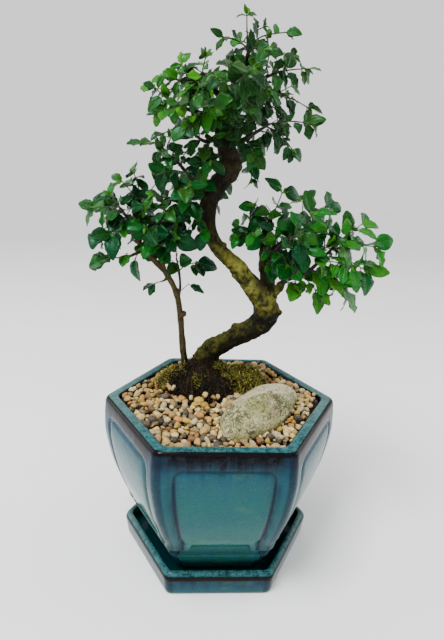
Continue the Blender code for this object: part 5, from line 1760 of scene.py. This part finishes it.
def more_leaves(crowding, name, points, radii, sprays):
    """Pairs that the solids don't have: along each twig, at its tip, and on short spurs of the branch."""
    draw = random.Random("more " + name)
    kept = EXTRA.get(name, EXTRA_ELSEWHERE)
    sizes = [leaves[0][2] for _, _, leaves in sprays if leaves]
    size = sum(sizes) / max(1, len(sizes))
    added, spurs = [], []

    def pair(path, share, length, own, spread, turn, young=0.0):
        chance = kept + 0.6 * young
        leaves = grow_pair(crowding, draw, path, share, points[0], turn, length, own, spread, chance)
        added.extend((leaf, young) for leaf in leaves)

    for index, (twig_points, twig_radii, _) in enumerate(sprays):
        twig, own = (twig_points, twig_radii), (name, index)
        span = sum(steps(twig_points))
        share, turn = 3.0 / span, draw.uniform(0, HALF_TURN)
        while share < 0.93:
            pair(twig, share, size * draw.uniform(0.6, 1.05), own, PAIR_SPREAD, turn)
            share += draw.uniform(*PAIR_GAP) / span
            turn += math.pi / 2
        pair(twig, 1.0, draw.uniform(*BUD_SIZE), own, BUD_SPREAD, turn, BUD_YOUTH)
    total = sum(steps(points))
    share, order = 0.22, 100
    while share < 1.0:
        start, way, _ = along(points, radii, share)
        own = (name, order)
        shoot = spur(crowding, draw, own, start, way, draw.uniform(*SPUR_REACH))
        if shoot:
            crowding.add(*tube(*shoot, TWIG_SIDES), own)
            spurs.append(shoot)
            turn = draw.uniform(0, HALF_TURN)
            for where in SPUR_PAIRS:
                pair(shoot, where, size * draw.uniform(0.65, 1.0), own, SPUR_SPREAD, turn)
                turn += math.pi / 2
        order += 1
        share += draw.uniform(*SPUR_GAP) / total
    return added, spurs


def leaf_tone(name, place):
    """How bright a leaf is, by its branch and its place, with its painted light and shade."""
    bright = LEAF_TONE.get(name, TONE_ELSEWHERE)
    for centre, reach, change in SHADE_AND_LIGHT_SPOTS:
        bright += change * bell((place - Vector(centre)).length, reach)
    return bright


def build_twigs(name, branch, sprays, spurs, finish):
    """A branch's fine wood: its stem, twigs and spurs as uneven tubes, greener the younger they are."""
    points, radii = branch
    thinned = [radius * share for radius, share in zip(radii, np.linspace(1.0, 0.75, len(radii)))]
    tubes = [(points, thinned, 0.0, 8)]
    tubes += [(path, [radius * 0.6 for radius in sizes], 0.35, 6) for path, sizes, _ in sprays]
    tubes += [(path, [radius * 0.55 for radius in sizes], 0.6, 5) for path, sizes in spurs]
    wood, green = [], []
    for path, sizes, freshness, sides in tubes:
        fine, fine_radii = fine_path(path, sizes, 1.5)
        swollen = [size * (1 + 0.12 * relief(spot, 0.5, 1)) for spot, size in zip(fine, fine_radii)]
        wood.append(tube(fine, swollen, sides))
        green.append(freshness * np.repeat(np.linspace(0, 1, len(fine)), sides))
    shape, faces = merged(wood)
    marks = {"green": np.concatenate(green)}
    piece("twigs_" + name, shape, faces, finish, "bark", ["leaves_" + name], marks=marks)


def build_branches():
    """Every leafy branch: its fine wood, and its leaves with those added between them."""
    crowding, grown = grow_tree()
    leaf, twig = leaf_finish(), twig_finish()
    for name, (points, radii, sprays) in grown.items():
        added, spurs = more_leaves(crowding, name, points, radii, sprays)
        draw = random.Random("leaves " + name)
        foliage = Foliage()
        for item, young in [(item, 0.0) for _, _, leaves in sprays for item in leaves] + added:
            tone = min(1.0, max(0.0, draw.gauss(leaf_tone(name, item[0]), 0.22)))
            foliage.add(item, draw, young, tone)
        foliage.piece("foliage_" + name, leaf, "leaves_" + name)
        build_twigs(name, (points, radii), sprays, spurs, twig)


# Floor, light and camera


def build_floor():
    """A pale floor that sweeps up all round."""
    profile = [(reach, 0.0) for reach in (0.3, 0.8, 1.4, FLOOR_FLAT)]
    for turn in np.linspace(0.1, math.pi / 2, 14):
        profile.append((FLOOR_FLAT + math.sin(turn), 1.0 - math.cos(turn)))
    profile.append((FLOOR_FLAT + 1.0, 2.2))
    points = []
    for reach, height in profile:
        for k in range(FLOOR_SIDES):
            turn = 2 * math.pi * k / FLOOR_SIDES
            points.append((reach * math.cos(turn), reach * math.sin(turn), height))
    faces = [tuple(range(FLOOR_SIDES))] + [face[::-1] for face in grid_faces(len(profile), FLOOR_SIDES)]
    mesh = bpy.data.meshes.new("floor")
    mesh.from_pydata(points, [], faces)
    mesh.polygons.foreach_set("use_smooth", [True] * len(mesh.polygons))
    floor = bpy.data.objects.new("floor", mesh)
    bpy.context.scene.collection.objects.link(floor)
    paper = Finish("pale_floor", Roughness=0.9, Specular_IOR_Level=0.1)
    cloud = paper.noise(0.01, 2.0)
    paper.set(Base_Color=paper.ramp(cloud, [(0.3, rgb(248, 248, 248)), (0.7, rgb(251, 251, 251))]))
    mesh.materials.append(paper.material)


def build_light():
    """An even white surround and soft lamps."""
    world = bpy.data.worlds.new("surround")
    bpy.context.scene.world = world
    world.use_nodes = True
    sky = world.node_tree.nodes["Background"]
    sky.inputs["Color"].default_value = (1.0, 1.0, 1.0, 1.0)
    sky.inputs["Strength"].default_value = 1.0
    for name, (place, size, power) in LAMPS.items():
        lamp = bpy.data.lights.new(name, "AREA")
        lamp.size = size
        lamp.energy = power
        thing = bpy.data.objects.new(name, lamp)
        thing.location = place
        thing.rotation_euler = (LAMP_AIM - Vector(place)).to_track_quat("-Z", "Y").to_euler()
        bpy.context.scene.collection.objects.link(thing)


def build_camera():
    """The camera, at the photograph's place and angle."""
    camera = bpy.data.objects.new("camera", bpy.data.cameras.new("camera"))
    camera.data.lens = CAMERA_LENS
    camera.data.sensor_width = 36.0
    camera.data.sensor_fit = "AUTO"
    camera.data.clip_start = 0.01
    back = -CAMERA_FORWARD.normalized()
    right = (CAMERA_RIGHT - back * CAMERA_RIGHT.dot(back)).normalized()
    turn = Matrix((right, back.cross(right), back)).transposed()
    camera.matrix_world = Matrix.Translation(Vector(CAMERA_PLACE) * MM) @ turn.to_4x4()
    bpy.context.scene.collection.objects.link(camera)
    bpy.context.scene.camera = camera


def main():
    """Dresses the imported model."""
    build_floor()
    build_light()
    build_camera()
    build_ceramics()
    bark = bark_finish()
    spots, normals, skin = build_trunk(bark)
    build_side_stem(bark)
    build_mound()
    build_crumbs(skin)
    build_pebbles()
    build_grit()
    build_stone()
    build_moss(skin, spots, normals)
    build_branches()


main()
bpy.context.view_layer.update()
